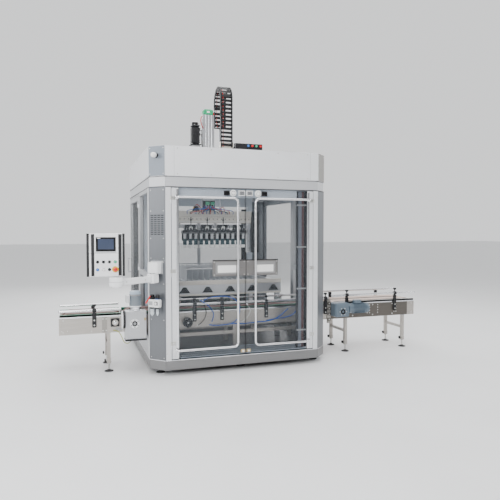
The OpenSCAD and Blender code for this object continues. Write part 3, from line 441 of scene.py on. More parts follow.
    finish("grating_paint", (0.32, 0.38, 0.45), 0.5, 0.3, 16, (1, 1, 1), 0.12, 0.1, 0.2, 200, dirt=0.3)
    finish("blue_tube", (0.03, 0.12, 0.5), 0.26, 0.0, 20, (1, 1, 1), 0.1, 0.06, 0.02, 300, coat=0.3)
    finish("red_tube", (0.5, 0.03, 0.025), 0.28, 0.0, 20, (1, 1, 1), 0.1, 0.06, 0.02, 300, coat=0.3)
    finish("cyan_tube", (0.03, 0.4, 0.55), 0.28, 0.0, 20, (1, 1, 1), 0.1, 0.06, 0.02, 300, coat=0.3)
    finish("yellow_moulding", (0.82, 0.46, 0.0), 0.35, 0.0, 20, (1, 1, 1), 0.05, 0.06, 0.05, 400)
    finish("red_moulding", (0.62, 0.012, 0.012), 0.3, 0.0, 20, (1, 1, 1), 0.06, 0.06, 0.04, 400, coat=0.3)
    finish("blue_moulding", (0.04, 0.16, 0.5), 0.3, 0.0, 20, (1, 1, 1), 0.06, 0.06, 0.04, 400, coat=0.3)
    finish("earth_sleeve", (0.34, 0.36, 0.0), 0.4, 0.0, 30, (1, 1, 1), 0.1, 0.06, 0.03, 300,
           specks=(0.1, 0.35, 0.08))
    finish("display_glass", (0.05, 0.065, 0.11), 0.12, 0.0, 4, (1, 1, 1), 0.12, 0.03, 0.0, 300, coat=0.6)
    finish("label_blank", (0.86, 0.86, 0.84), 0.5, 0.0, 8, (1, 1, 1), 0.02, 0.06, 0.05, 500)
    finish("pane", (0.12, 0.135, 0.15), 0.04, 0.0, 2, (1, 1, 1), 0.01, 0.015, 0.01, 100,
           alpha=s.pane_opacity, ior=1.3)
    finish("opal_lens", (0.9, 0.9, 0.88), 0.22, 0.0, 12, (1, 1, 1), 0.02, 0.05, 0.01, 300, coat=0.4)
    finish("floor_paint", (0.86, 0.865, 0.87), 0.5, 0.0, 1.5, (1, 1, 1), 0.02, 0.08, 0.02, 40)
    finish("lane_grey", (0.55, 0.57, 0.6), 0.42, 0.2, 10, (1, 1, 1), 0.08, 0.08, 0.06, 200)


NODE_FINISHES = {
    "base_frame": "plinth_steel", "floor_grating": "grating_paint", "corner_columns": "corner_steel_painted_shade",
    "header_fascia": "header_lacquer", "header_band": "band_steel", "roof_panels": "header_lacquer",
    "side_frames": "satin_stainless", "fixed_glazing": "pane", "gantry_frame": "blue_grey_enamel",
    "y_drive": "anodised_black", "bottle_table": "anodised_silver", "lane_guides": "lane_grey",
    "conveyor_frames": "warm_steel", "guide_rails": "polished_tube", "door_hinges": "post_silver",
    "y_bridge": "cream_enamel", "guide_rail_rear": "polished_tube", "crate_stop": "satin_stainless",
    "drive_shaft": "cast_grey", "outfeed_shaft": "cast_grey", "door_left_glass": "pane",
    "door_right_glass": "pane",
    "side_door_frame": "satin_stainless", "side_door_glass": "pane", "hmi_bracket": "white_enamel",
    "conveyor_chains": "chain_brown", "conveyor_gearmotors": "motor_lacquer", "air_unit": "white_moulding",
    "warning_lamp": "opal_lens", "air_hoses": "blue_tube", "earth_cable": "earth_sleeve",
    "z_servo": "anodised_black",
    "z_chain_loop": "black_moulding", "z_column": "anodised_silver", "head_beam": "cream_enamel",
    "valve_island": "green_moulding", "handwheel": "black_moulding", "air_lever": "red_moulding",
    "air_knob": "black_moulding", "door_left_frame": "polished_tube", "door_right_frame": "polished_tube",
    "hmi_arm": "white_enamel", "hmi_case": "white_enamel", "button_black_1": "black_moulding",
    "button_black_2": "black_moulding", "button_black_3": "black_moulding", "button_green": "green_moulding",
    "button_blue": "blue_moulding", "button_white": "white_moulding", "button_black_4": "black_moulding",
    "emergency_stop": "red_moulding", "levelling_feet": "black_rubber",
}


def dress_nodes():
    """Gives every node of the frame its finish."""
    for name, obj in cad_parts.items():
        key = NODE_FINISHES.get(name)
        if key is None:
            key = "anodised_black" if name.startswith("head_group") else "teal_moulding"
        obj.data.materials.clear()
        obj.data.materials.append(FINISHES[key])


# ---------- settings ----------


class PackerSettings(bpy.types.PropertyGroup):
    steel_color: bpy.props.FloatVectorProperty(
        name="Steel", description="Tone of the stainless sheet", subtype="COLOR", size=3, min=0, max=1,
        default=(0.56, 0.57, 0.59))
    header_color: bpy.props.FloatVectorProperty(
        name="Header", description="Lacquer of the header", subtype="COLOR", size=3, min=0, max=1,
        default=(0.86, 0.87, 0.89))
    pane_opacity: bpy.props.FloatProperty(
        name="Pane opacity", description="How much a pane hides what is behind it", subtype="FACTOR",
        min=0.02, max=0.6, default=0.13)
    light_power: bpy.props.FloatProperty(
        name="Light", description="Power of the main soft light", unit="POWER", min=0, default=420.0)
    eye_height: bpy.props.FloatProperty(
        name="Eye height", description="Height of the camera", unit="LENGTH", subtype="DISTANCE",
        min=0.1, default=1.6)
    lens: bpy.props.FloatProperty(
        name="Lens", description="Focal length of the camera", min=10, max=200, default=36.7)


def settings():
    return bpy.context.scene.packer_settings


# ---------- stage ----------


SKY_FRONT, SKY_BACK, SKY_STRENGTH = (0.10, 0.102, 0.105, 1), (0.9, 0.91, 0.92, 1), 1.25


class PACKER_OT_stage(bpy.types.Operator):
    """Camera, soft lights and floor"""

    bl_idname = "packer.stage"
    bl_label = "Stage"

    def execute(self, context):
        s = settings()
        camera = bpy.data.objects.new("camera", bpy.data.cameras.new("camera"))
        context.scene.collection.objects.link(camera)
        camera.data.lens = s.lens
        camera.data.sensor_width = 36
        camera.location = CABINET + Vector((-1.8345, -6.745, s.eye_height))
        camera.rotation_euler = (math.radians(90 - 2.13), 0, math.radians(-18.8))
        context.scene.camera = camera

        mesh = bpy.data.meshes.new("floor")
        r = 60.0
        mesh.from_pydata([(-r, -r, 0), (r, -r, 0), (r, r, 0), (-r, r, 0)], [], [(0, 1, 2, 3)])
        mesh.materials.append(FINISHES["floor_paint"])
        floor = bpy.data.objects.new("floor", mesh)
        context.scene.collection.objects.link(floor)

        for name, spot, size, power in (
            ("top_light", (0.0, -1.5, 7.0), 6.0, 0.8),
            ("front_light", (-3.6, -7.8, 4.2), 3.2, 1.25),
            ("left_light", (-7.0, -1.0, 3.0), 3.0, 0.25),
            ("right_light", (7.0, -2.0, 4.0), 3.0, 0.3),
            ("back_light", (1.0, 6.5, 5.0), 5.0, 0.8),
        ):
            lamp = bpy.data.lights.new(name, "AREA")
            lamp.size = size
            lamp.energy = s.light_power * power
            obj = bpy.data.objects.new(name, lamp)
            obj.location = CABINET + Vector(spot)
            aim = CABINET + Vector((0, 0, 1.3)) - obj.location
            obj.rotation_euler = aim.to_track_quat("-Z", "Y").to_euler()
            context.scene.collection.objects.link(obj)

        world = bpy.data.worlds.new("studio")
        world.use_nodes = True
        tree = world.node_tree
        link = tree.links.new
        # darker in front of the machine, so that the panes stay clear, and bright behind it
        where, split = shader_node(tree, "TexCoord"), shader_node(tree, "SeparateXYZ")
        link(where.outputs["Generated"], split.inputs["Vector"])
        ramp = shader_node(tree, "ValToRGB")
        for stop, position, color in zip(ramp.color_ramp.elements, (0.0, 0.6), (SKY_FRONT, SKY_BACK)):
            stop.position, stop.color = position, color
        spread = shader_node(tree, "MapRange", From_Min=-1.0)
        link(split.outputs["Y"], spread.inputs["Value"])
        link(spread.outputs["Result"], ramp.inputs["Fac"])
        back = tree.nodes["Background"]
        link(ramp.outputs["Color"], back.inputs["Color"])
        back.inputs["Strength"].default_value = SKY_STRENGTH
        context.scene.world = world
        return {"FINISHED"}


# ---------- cords ----------

HOSE_ROUTE = [
    (-330, -800, 470), (-270, -812, 462), (-200, -816, 460), (-120, -814, 464), (-40, -812, 468),
    (40, -812, 466), (120, -814, 462), (200, -812, 466), (280, -810, 472), (360, -810, 470),
    (440, -812, 478), (520, -814, 500), (590, -812, 536), (650, -806, 580), (700, -800, 616)]
EARTH_ROUTE = [
    (-1452, -796, 474), (-1440, -800, 474), (-1424, -806, 471), (-1404, -814, 462), (-1386, -824, 446),
    (-1372, -836, 424), (-1361, -850, 400), (-1352, -864, 376), (-1343, -876, 356), (-1330, -885, 342),
    (-1314, -889, 335), (-1298, -888, 334), (-1284, -883, 338), (-1273, -874, 344), (-1266, -865, 354),
    (-1264, -860, 361.5)]


class PACKER_OT_cords(bpy.types.Operator):
    """Earth cable of the drive and the air hose on the conveyor"""

    bl_idname = "packer.cords"
    bl_label = "Cords"

    def execute(self, context):
        for name, route, d, look, node, stiff, lay in (
            ("earth_lead", EARTH_ROUTE, 0.008, "earth_sleeve", "earth_cable", "medium", "hanging"),
            ("conveyor_hose", HOSE_ROUTE, 0.012, "blue_tube", "air_hoses", "stiff", "loose"),
        ):
            line = curved([Vector(p) / 1000 for p in route], 4)
            piece = Piece(name, "cabinet")
            piece.hose(line, d / 2, look, 12)
            obj = piece.done(node)
        return {"FINISHED"}


# ---------- cabinet ----------

HALF_W, HALF_D, CUT = 1.075, 1.195, 0.155
FRONT = -HALF_D
SKIRT_FOOT, SKIRT_TOP, LIP_FOOT, LIP_TOP = 0.066, 0.1725, 0.168, 0.1755
POST_FOOT, POST_TOP = 0.177, 2.078
HEADER_SCREWS = (2.225, 2.505)


def corner_frame(sx=-1, sy=-1):
    """Local frame on a corner's sheet, with -Y outwards."""
    spot = Vector((sx * (HALF_W - CUT / 2), sy * (HALF_D - CUT / 2), 0))
    out = Vector((sx, sy, 0)).normalized()
    along = Vector((-out.y, out.x, 0))
    m = Matrix.Identity(4)
    for r in range(3):
        m[r][0], m[r][1], m[r][2], m[r][3] = along[r], -out[r], Z[r], spot[r]
    return m


HOSE_ARCS = (
    ("blue_tube", 0.005, [(-409, -808, 765), (-323, -812, 800), (-174, -814, 812), (-61, -814, 792),
                          (28, -812, 734), (54, -812, 660), (41, -812, 575), (3, -812, 504),
                          (-60, -806, 470), (-99, -797, 458)]),
    ("blue_tube", 0.005, [(-445, -806, 775), (-372, -812, 728), (-310, -812, 666), (-280, -812, 604),
                          (-286, -806, 544), (-300, -797, 500)]),
    ("blue_tube", 0.005, [(393, -797, 478), (526, -812, 500), (640, -812, 508), (757, -812, 540),
                          (813, -808, 598), (835, -800, 650)]),
    ("black_rubber", 0.0045, [(-400, -806, 720), (-370, -811, 640), (-385, -811, 560), (-430, -808, 500),
                              (-470, -797, 470)]),
    ("white_moulding", 0.0035, [(150, -806, 700), (190, -811, 620), (150, -811, 540), (90, -806, 490),
                                (60, -797, 470)]),
)


class PACKER_OT_cabinet(bpy.types.Operator):
    """Seams, screws, louvres, feet and trim of the cabinet"""

    bl_idname = "packer.cabinet"
    bl_label = "Cabinet"

    def execute(self, context):
        # the louvre hoods share the corner sheets' darker colour, which is painted shade
        louvres = Piece("louvre_hoods", "cabinet")
        louvres.place = corner_frame()
        for row in range(10):
            for col in range(-2, 2):
                x0, x1 = col * 0.046 + 0.006, col * 0.046 + 0.040
                low, high = 1.560 + row * 0.023, 1.569 + row * 0.023
                louvres.prism([(0.001, high + 0.0035), (-0.004, high), (-0.0035, high - 0.0015),
                               (0.001, high + 0.001)],
                              "YZ", x0 - 0.001, x1 + 0.001, "corner_steel_painted_shade")
        # black backing behind the louvre slots, as painted shade
        louvres.box((-0.095, 0.006, 1.54), (0.095, 0.012, 1.80), "painted_shade_black")
        louvres.done()

        trim = Piece("cabinet_trim", "cabinet")
        trim.place = corner_frame()
        for z in (1.30, 1.52, 1.82, 2.05, 0.20, 0.62, 1.02, 1.26):
            for x in (-0.085, 0.085):
                trim.screw((x, 0.001, z), -Y, 0.004, "zinc_screw", 12)
        trim.place = Matrix.Identity(4)
        for x in (-0.78, -0.4, 0.4, 0.78):
            for z in HEADER_SCREWS:
                trim.screw((x, FRONT, z), -Y, 0.0045, "zinc_screw", 12)
        for side in (-1, 1):
            for y in (-0.9, -0.45, 0.0, 0.45, 0.9):
                for z in HEADER_SCREWS:
                    trim.screw((side * HALF_W, y, z), X * side, 0.0045, "zinc_screw", 12)
            for z in (0.25, 0.55, 0.85, 1.02, 1.2, 1.45, 1.7, 2.0):
                trim.screw((side * 0.905, FRONT - 0.0015, z), -Y, 0.0035, "zinc_screw", 12)
            trim.box((side * 0.856, FRONT - 0.0016, POST_FOOT), (side * 0.916, FRONT + 0.004, POST_TOP),
                     "post_silver", 0.0008)
            for y in (-1, 1):
                trim.box((side * (HALF_W + 0.0014), y * 0.967, POST_FOOT),
                         (side * (HALF_W - 0.004), y * 1.036, POST_TOP), "post_silver", 0.0008)
        # black strips above the posts and between the header's sheets, as painted shade in the gaps
        for low, high, back in ((2.0785, 2.0860, 0.0), (2.1930, 2.2018, 0.006)):
            trim.box((-0.915, FRONT + back - 0.0008, low), (0.915, FRONT + back + 0.004, high),
                     "painted_shade_black", 0.0004)
            for side in (-1, 1):
                trim.box((side * (HALF_W - back + 0.0008), -1.035, low),
                         (side * (HALF_W - back - 0.004), 1.035, high), "painted_shade_black", 0.0004)
                trim.place = corner_frame(side, -1)
                trim.box((-0.107, back - 0.0008, low), (0.107, back + 0.004, high), "painted_shade_black", 0.0004)
                trim.place = Matrix.Identity(4)
        # header corners in the darker lacquer copies: painted shade on the left, painted shade with a warm
        # painted reflection on the right
        for side, look in ((-1, "header_painted_shade"), (1, "header_painted_warm_shade")):
            trim.place = corner_frame(side, -1)
            trim.box((-0.107, -0.0012, 2.2035), (0.107, 0.002, 2.5285), look, 0.0006)
            for x in (-0.09, 0.09):
                for z in HEADER_SCREWS:
                    trim.screw((x, -0.0012, z), -Y, 0.0045, "zinc_screw", 12)
            trim.place = Matrix.Identity(4)
        for x in (-0.818, 0.818):
            trim.box((x - 0.0012, FRONT - 0.0006, 2.204), (x + 0.0012, FRONT + 0.002, 2.529), "cast_grey",
                     0.0003)
        # skirt and bright lip of the plinth
        trim.box((-0.919, FRONT - 0.0015, SKIRT_FOOT), (0.919, FRONT + 0.002, SKIRT_TOP), "plinth_silver",
                 0.001)
        for side in (-1, 1):
            trim.box((side * (HALF_W + 0.0015), -1.039, SKIRT_FOOT), (side * (HALF_W - 0.002), 1.039,
                    SKIRT_TOP), "plinth_silver", 0.001)
            trim.place = corner_frame(side, -1)
            trim.box((-0.109, -0.0015, SKIRT_FOOT), (0.109, 0.002, SKIRT_TOP), "plinth_silver", 0.001)
            trim.place = Matrix.Identity(4)
        trim.box((-0.918, FRONT - 0.003, LIP_FOOT), (0.918, FRONT + 0.012, LIP_TOP), "bright_edge", 0.001)
        for sx in (-1, 1):
            trim.place = corner_frame(sx, -1)
            trim.box((-0.107, -0.003, LIP_FOOT), (0.107, 0.004, LIP_TOP), "bright_edge", 0.001)
            trim.place = Matrix.Identity(4)
            trim.box((sx * (HALF_W + 0.003), -1.038, LIP_FOOT), (sx * (HALF_W - 0.012), 1.038, LIP_TOP),
                     "bright_edge", 0.001)
        trim.done()

        inside = Piece("inner_strips_and_painted_shade", "cabinet")
        # strips on the inner post at the front right: black and grey as painted shade, maroon as a painted
        # reflection
        for x0, x1, y, look in ((0.758, 0.800, -1.150, "anodised_black"),
                                (0.726, 0.757, -1.146, "duct_painted_maroon_reflection"),
                                (0.685, 0.725, -1.150, "duct_painted_shade_grey"), (0.662, 0.684, -1.146,
                                        "anodised_black")):
            inside.box((x0, y, 0.20), (x1, -1.118, 2.075), look, 0.003)
        # dark sheet inside the rear panel, as painted shade of the cabinet's back
        inside.box((-0.95, 1.170, 0.18), (0.95, 1.176, 0.895), "rear_painted_shade", 0.001)
        inside.box((-0.801, -0.3218, 0.903), (0.801, -0.279, 0.9565), "cream_enamel", 0.003)
        inside.box((-0.800, -0.3195, 0.764), (0.800, -0.300, 0.7846), "cream_enamel", 0.002)
        inside.box((0.700, 1.120, 0.95), (0.780, 1.160, 1.95), "anodised_black", 0.003)
        # black strip between the two cream rails, as painted shade
        inside.box((-0.60, -0.302, 0.792), (0.79, -0.299, 0.886), "painted_shade_black", 0.001)
        for z in (0.40, 0.9, 1.4, 1.9):
            inside.box((0.660, -1.1525, z), (0.802, -1.1495, z + 0.018), "cast_grey", 0.0008)
        inside.done()

        grate = Piece("ribbed_step", "cabinet")
        # black base under the ribs, as painted shade in the gaps between them
        grate.box((-0.755, FRONT + 0.012, 0.1715), (0.755, -0.802, 0.1885), "painted_shade_black", 0.001)
        for y in (FRONT + 0.012, -0.812):
            grate.box((-0.755, y, 0.1715), (0.755, y + 0.010, 0.195), "grating_paint", 0.001)
        for k in range(54):
            x = -0.752 + k * 0.0282
            grate.box((x, FRONT + 0.0215, 0.1880), (x + 0.010, -0.8115, 0.1945), "grating_paint", 0.001)
        for y in (-1.08, -0.98, -0.89):
            grate.rod((-0.753, y, 0.1905), (0.753, y, 0.1905), 0.0030, "cast_grey", n=8)
        grate.done("floor_grating")

        feet = Piece("feet", "cabinet")
        spots = [(x, y, 0.09) for x in (-0.95, 0, 0.95) for y in (-1.0, 1.0)]
        spots += [(x, 0, 0.09) for x in (-0.95, 0.95)]
        spots += [(x, y, 0.11) for x in (-1.5, 1.54, 2.43) for y in (-0.7647, -0.3653)]
        for x, y, top in spots:
            feet.turned((x, y, 0), Z, [(0, 0), (0.047, 0), (0.05, 0.003), (0.05, 0.009), (0.046, 0.0105),
                                       (0.044, 0.011),
                                       (0.030, 0.016), (0.018, 0.019), (0.016, 0.026), (0, 0.026)],
                                       "black_rubber", 40)
            feet.turned((x, y, 0.0015), Z, [(0.0495, 0), (0.0505, 0), (0.0505, 0.002), (0.0495, 0.002)],
                        "bright_edge", 40, True)
            for k in range(16):
                a = 2 * math.pi * k / 16
                d = Vector((math.cos(a), math.sin(a), 0))
                feet.rod(Vector((x, y, 0.0105)) + d * 0.028, Vector((x, y, 0.0085)) + d * 0.045, 0.0022,
                         "black_rubber", n=6)
            line = [(0, 0.02)]
            z = 0.022
            while z < top - 0.03:
                line += [(0.0078, z), (0.009, z + 0.0012), (0.0078, z + 0.0024)]
                z += 0.0026
            line += [(0.009, z + 0.001), (0.009, top), (0, top)]
            feet.turned((x, y, 0), Z, line, "zinc_screw", 14)
            feet.turned((x, y, top - 0.022), Z, [(0, 0), (0.0155, 0), (0.017, 0.0015), (0.017, 0.0105),
                                                 (0.0155, 0.012), (0, 0.012)],
                        "zinc_screw", 6)
        feet.done("levelling_feet")

        lamp = Piece("corner_lamp", "cabinet")
        lamp.place = corner_frame()
        lamp.turned((0, 0, 2.425), -Y, [(0, 0), (0.026, 0), (0.026, 0.006), (0.019, 0.009), (0.017, 0.026),
                                        (0.022, 0.031), (0.022, 0.035), (0, 0.035)],
                    "black_moulding", 32)
        lamp.turned((0, -0.035, 2.425), -Y, [(0, 0), (0.029, 0), (0.030, 0.002), (0.030, 0.02),
                                             (0.0285, 0.03), (0.024, 0.040),
                                             (0.016, 0.047), (0.008, 0.0505), (0, 0.0515)], "opal_lens", 36)
        lamp.done("warning_lamp")
        return {"FINISHED"}


# ---------- doors ----------

HINGE_X, HINGE_Y = -0.859, FRONT - 0.008
HINGE_HEIGHTS = (0.3, 1.1, 1.9)


def build_door(side):
    """Front door: side is -1 for the left one and 1 for the right one."""
    word = "left" if side < 0 else "right"
    body = word + "_door"
    p = Piece("door_" + word, body)
    p.place = Matrix.Scale(-side, 4, X)
    p.box((-0.849, FRONT - 0.010, 0.187), (-0.774, FRONT + 0.020, 2.072), "post_silver", 0.004)
    p.box((-0.8, FRONT - 0.0125, 0.20), (-0.7765, FRONT - 0.0095, 2.06), "bright_edge", 0.001)
    p.box((-0.7755, FRONT - 0.0062, 0.188), (-0.7695, FRONT + 0.0065, 2.071), "black_rubber", 0.001)
    p.box((-0.0060, FRONT - 0.0052, 0.188), (-0.0031, FRONT + 0.0056, 2.071), "black_rubber", 0.0008)
    for z in HINGE_HEIGHTS:
        p.ring((HINGE_X, HINGE_Y, z + 0.041), (HINGE_X, HINGE_Y, z + 0.081), 0.007, 0.00405, "zinc_screw", 20)
        p.box((-0.853, HINGE_Y - 0.007, z + 0.041), (-0.809, HINGE_Y - 0.0015, z + 0.081), "zinc_screw",
              0.001)
        for dx in (0.014, 0.034):
            p.screw((-0.853 + dx, HINGE_Y - 0.007, z + 0.061), -Y, 0.0035, "chrome", 12)
    # tube handle
    y = FRONT - 0.055
    x0, x1, z0, z1 = -0.7965, -0.105, 0.286, 1.969
    line = fillet([(x0, FRONT - 0.012, z0), (x0, y, z0), (x1, y, z0), (x1, y, z1), (x0, y, z1),
                   (x0, FRONT - 0.012, z1)],
                  0.05, 10)
    fine = []
    for a, b in zip(line, line[1:]):
        parts = max(1, int((b - a).length / 0.12))
        fine += [a + (b - a) * (i / parts) for i in range(parts)]
    p.hose(fine + [line[-1]], 0.0125, "polished_tube", 24)
    for z in (z0, z1):
        p.turned((x0, FRONT - 0.0095, z), -Y, [(0, 0), (0.021, 0), (0.021, 0.003), (0.0145, 0.0055),
                                               (0, 0.0055)], "chrome", 28)
    # stiffening plate on the pane, with a blank name plate
    p.box((-0.393, FRONT - 0.0215, 1.090), (-0.004, FRONT - 0.0043, 1.275), "plate_smoke", 0.003)
    p.box((-0.360, FRONT - 0.0225, 1.112), (-0.004, FRONT - 0.021, 1.250), "plate_mid", 0.0008)
    p.box((-0.118, FRONT - 0.0232, 1.112), (-0.004, FRONT - 0.0222, 1.250), "plate_smoke", 0.0004)
    p.box((-0.393, FRONT - 0.0222, 1.264), (-0.004, FRONT - 0.0210, 1.275), "black_moulding", 0.0004)
    p.box((-0.335, FRONT - 0.0235, 1.130), (-0.12, FRONT - 0.0214, 1.212), "label_blank", 0.001)
    for x in (-0.375, -0.022):
        for z in (1.107, 1.25):
            p.screw((x, FRONT - 0.0215, z), -Y, 0.005, "zinc_screw", 12)
    # lock, switch and cover at the top, latch at the foot
    p.box((-0.085, FRONT - 0.0140, 2.000), (-0.008, FRONT - 0.0043, 2.060), "white_moulding", 0.004)
    p.box((-0.078, FRONT - 0.0152, 2.007), (-0.016, FRONT - 0.0138, 2.053), "bright_edge", 0.001)
    p.turned((-0.150, FRONT - 0.0043, 2.028), -Y, [(0, 0), (0.038, 0), (0.038, 0.009), (0.034, 0.014),
                                                   (0.028, 0.016), (0, 0.016)],
             "white_moulding", 40)
    p.turned((-0.150, FRONT - 0.0200, 2.028), -Y, [(0.020, -0.001), (0.024, -0.001), (0.024, 0.001),
                                                   (0.020, 0.001)], "chrome", 36, True)
    p.box((-0.260, FRONT - 0.0240, 2.000), (-0.192, FRONT - 0.0043, 2.056), "black_moulding", 0.004)
    p.box((-0.250, FRONT - 0.0255, 2.012), (-0.204, FRONT - 0.0235, 2.044), "black_gloss", 0.001)
    p.box((-0.060, FRONT - 0.0180, 0.205), (-0.008, FRONT - 0.0043, 0.240), "brass_latch", 0.003)
    p.rod((-0.034, FRONT - 0.0180, 0.222), (-0.034, FRONT - 0.0265, 0.222), 0.012, "chrome")
    p.done("door_%s_frame" % word)


class PACKER_OT_doors(bpy.types.Operator):
    """Stiles, handles and fittings of the front doors"""

    bl_idname = "packer.doors"
    bl_label = "Front doors"

    def execute(self, context):
        build_door(-1)
        build_door(1)
        p = Piece("side_door_fittings", "side_door")
        x = -HALF_W
        for z in (1.0, 1.2):
            p.turned((x, 0.931, z), -X, [(0, 0), (0.018, 0), (0.018, 0.003), (0.011, 0.005), (0, 0.005)],
                     "chrome", 24)
        p.box((x - 0.001, -0.0247, 0.247), (x + 0.003, -0.021, 1.993), "black_rubber", 0.0005)
        p.box((x - 0.001, 0.897, 0.247), (x + 0.003, 0.9007, 1.993), "black_rubber", 0.0005)
        p.done()
        return {"FINISHED"}


# ---------- lift and travel above the roof ----------

CHAIN_X, CHAIN_W, CHAIN_T, LINK = 0.033, 0.160, 0.050, 0.052
BACK_Y, FRONT_Y = 0.020, -0.300
BEND_Z, BEND_R = 3.323, 0.160


def chain_link(p, inset=0.0, half=0.026):
    """One link around the origin of the piece's place, running along Z, with its bars along X."""
    w = CHAIN_W / 2 - inset
    t = CHAIN_T / 2 - (0.003 if inset else 0)
    a = half + 0.004
    outline = [(-t, -a + 0.012), (-t + 0.010, -a), (t - 0.010, -a), (t, -a + 0.012),
               (t, a - 0.012), (t - 0.010, a), (-t + 0.010, a), (-t, a - 0.012)]
    for x0 in (-w, w - 0.012):
        p.prism(outline, "YZ", x0, x0 + 0.012, "black_moulding", 0.0012)
    for y in (-t, t - 0.006):
        p.box((-w + 0.004, y, -0.011), (w - 0.004, y + 0.006, 0.011), "black_moulding", 0.0015)
    for x0, d in ((-w, -1), (w, 1)):
        p.turned((x0 - d * 0.001, 0, 0), X * d, [(0, 0), (0.009, 0), (0.009, 0.0018), (0.006, 0.0024),
                                                 (0, 0.0024)], "black_moulding", 16)


PROFILE_FOOT, PROFILE_TOP = 1.872, 3.167
CHAIN_FOOT, CHAIN_END = 2.726, 3.035
SERVO_X = -0.315
TRAY_LOW, TRAY_HIGH, TRAY_FRONT = 2.505, 2.609, -1.131


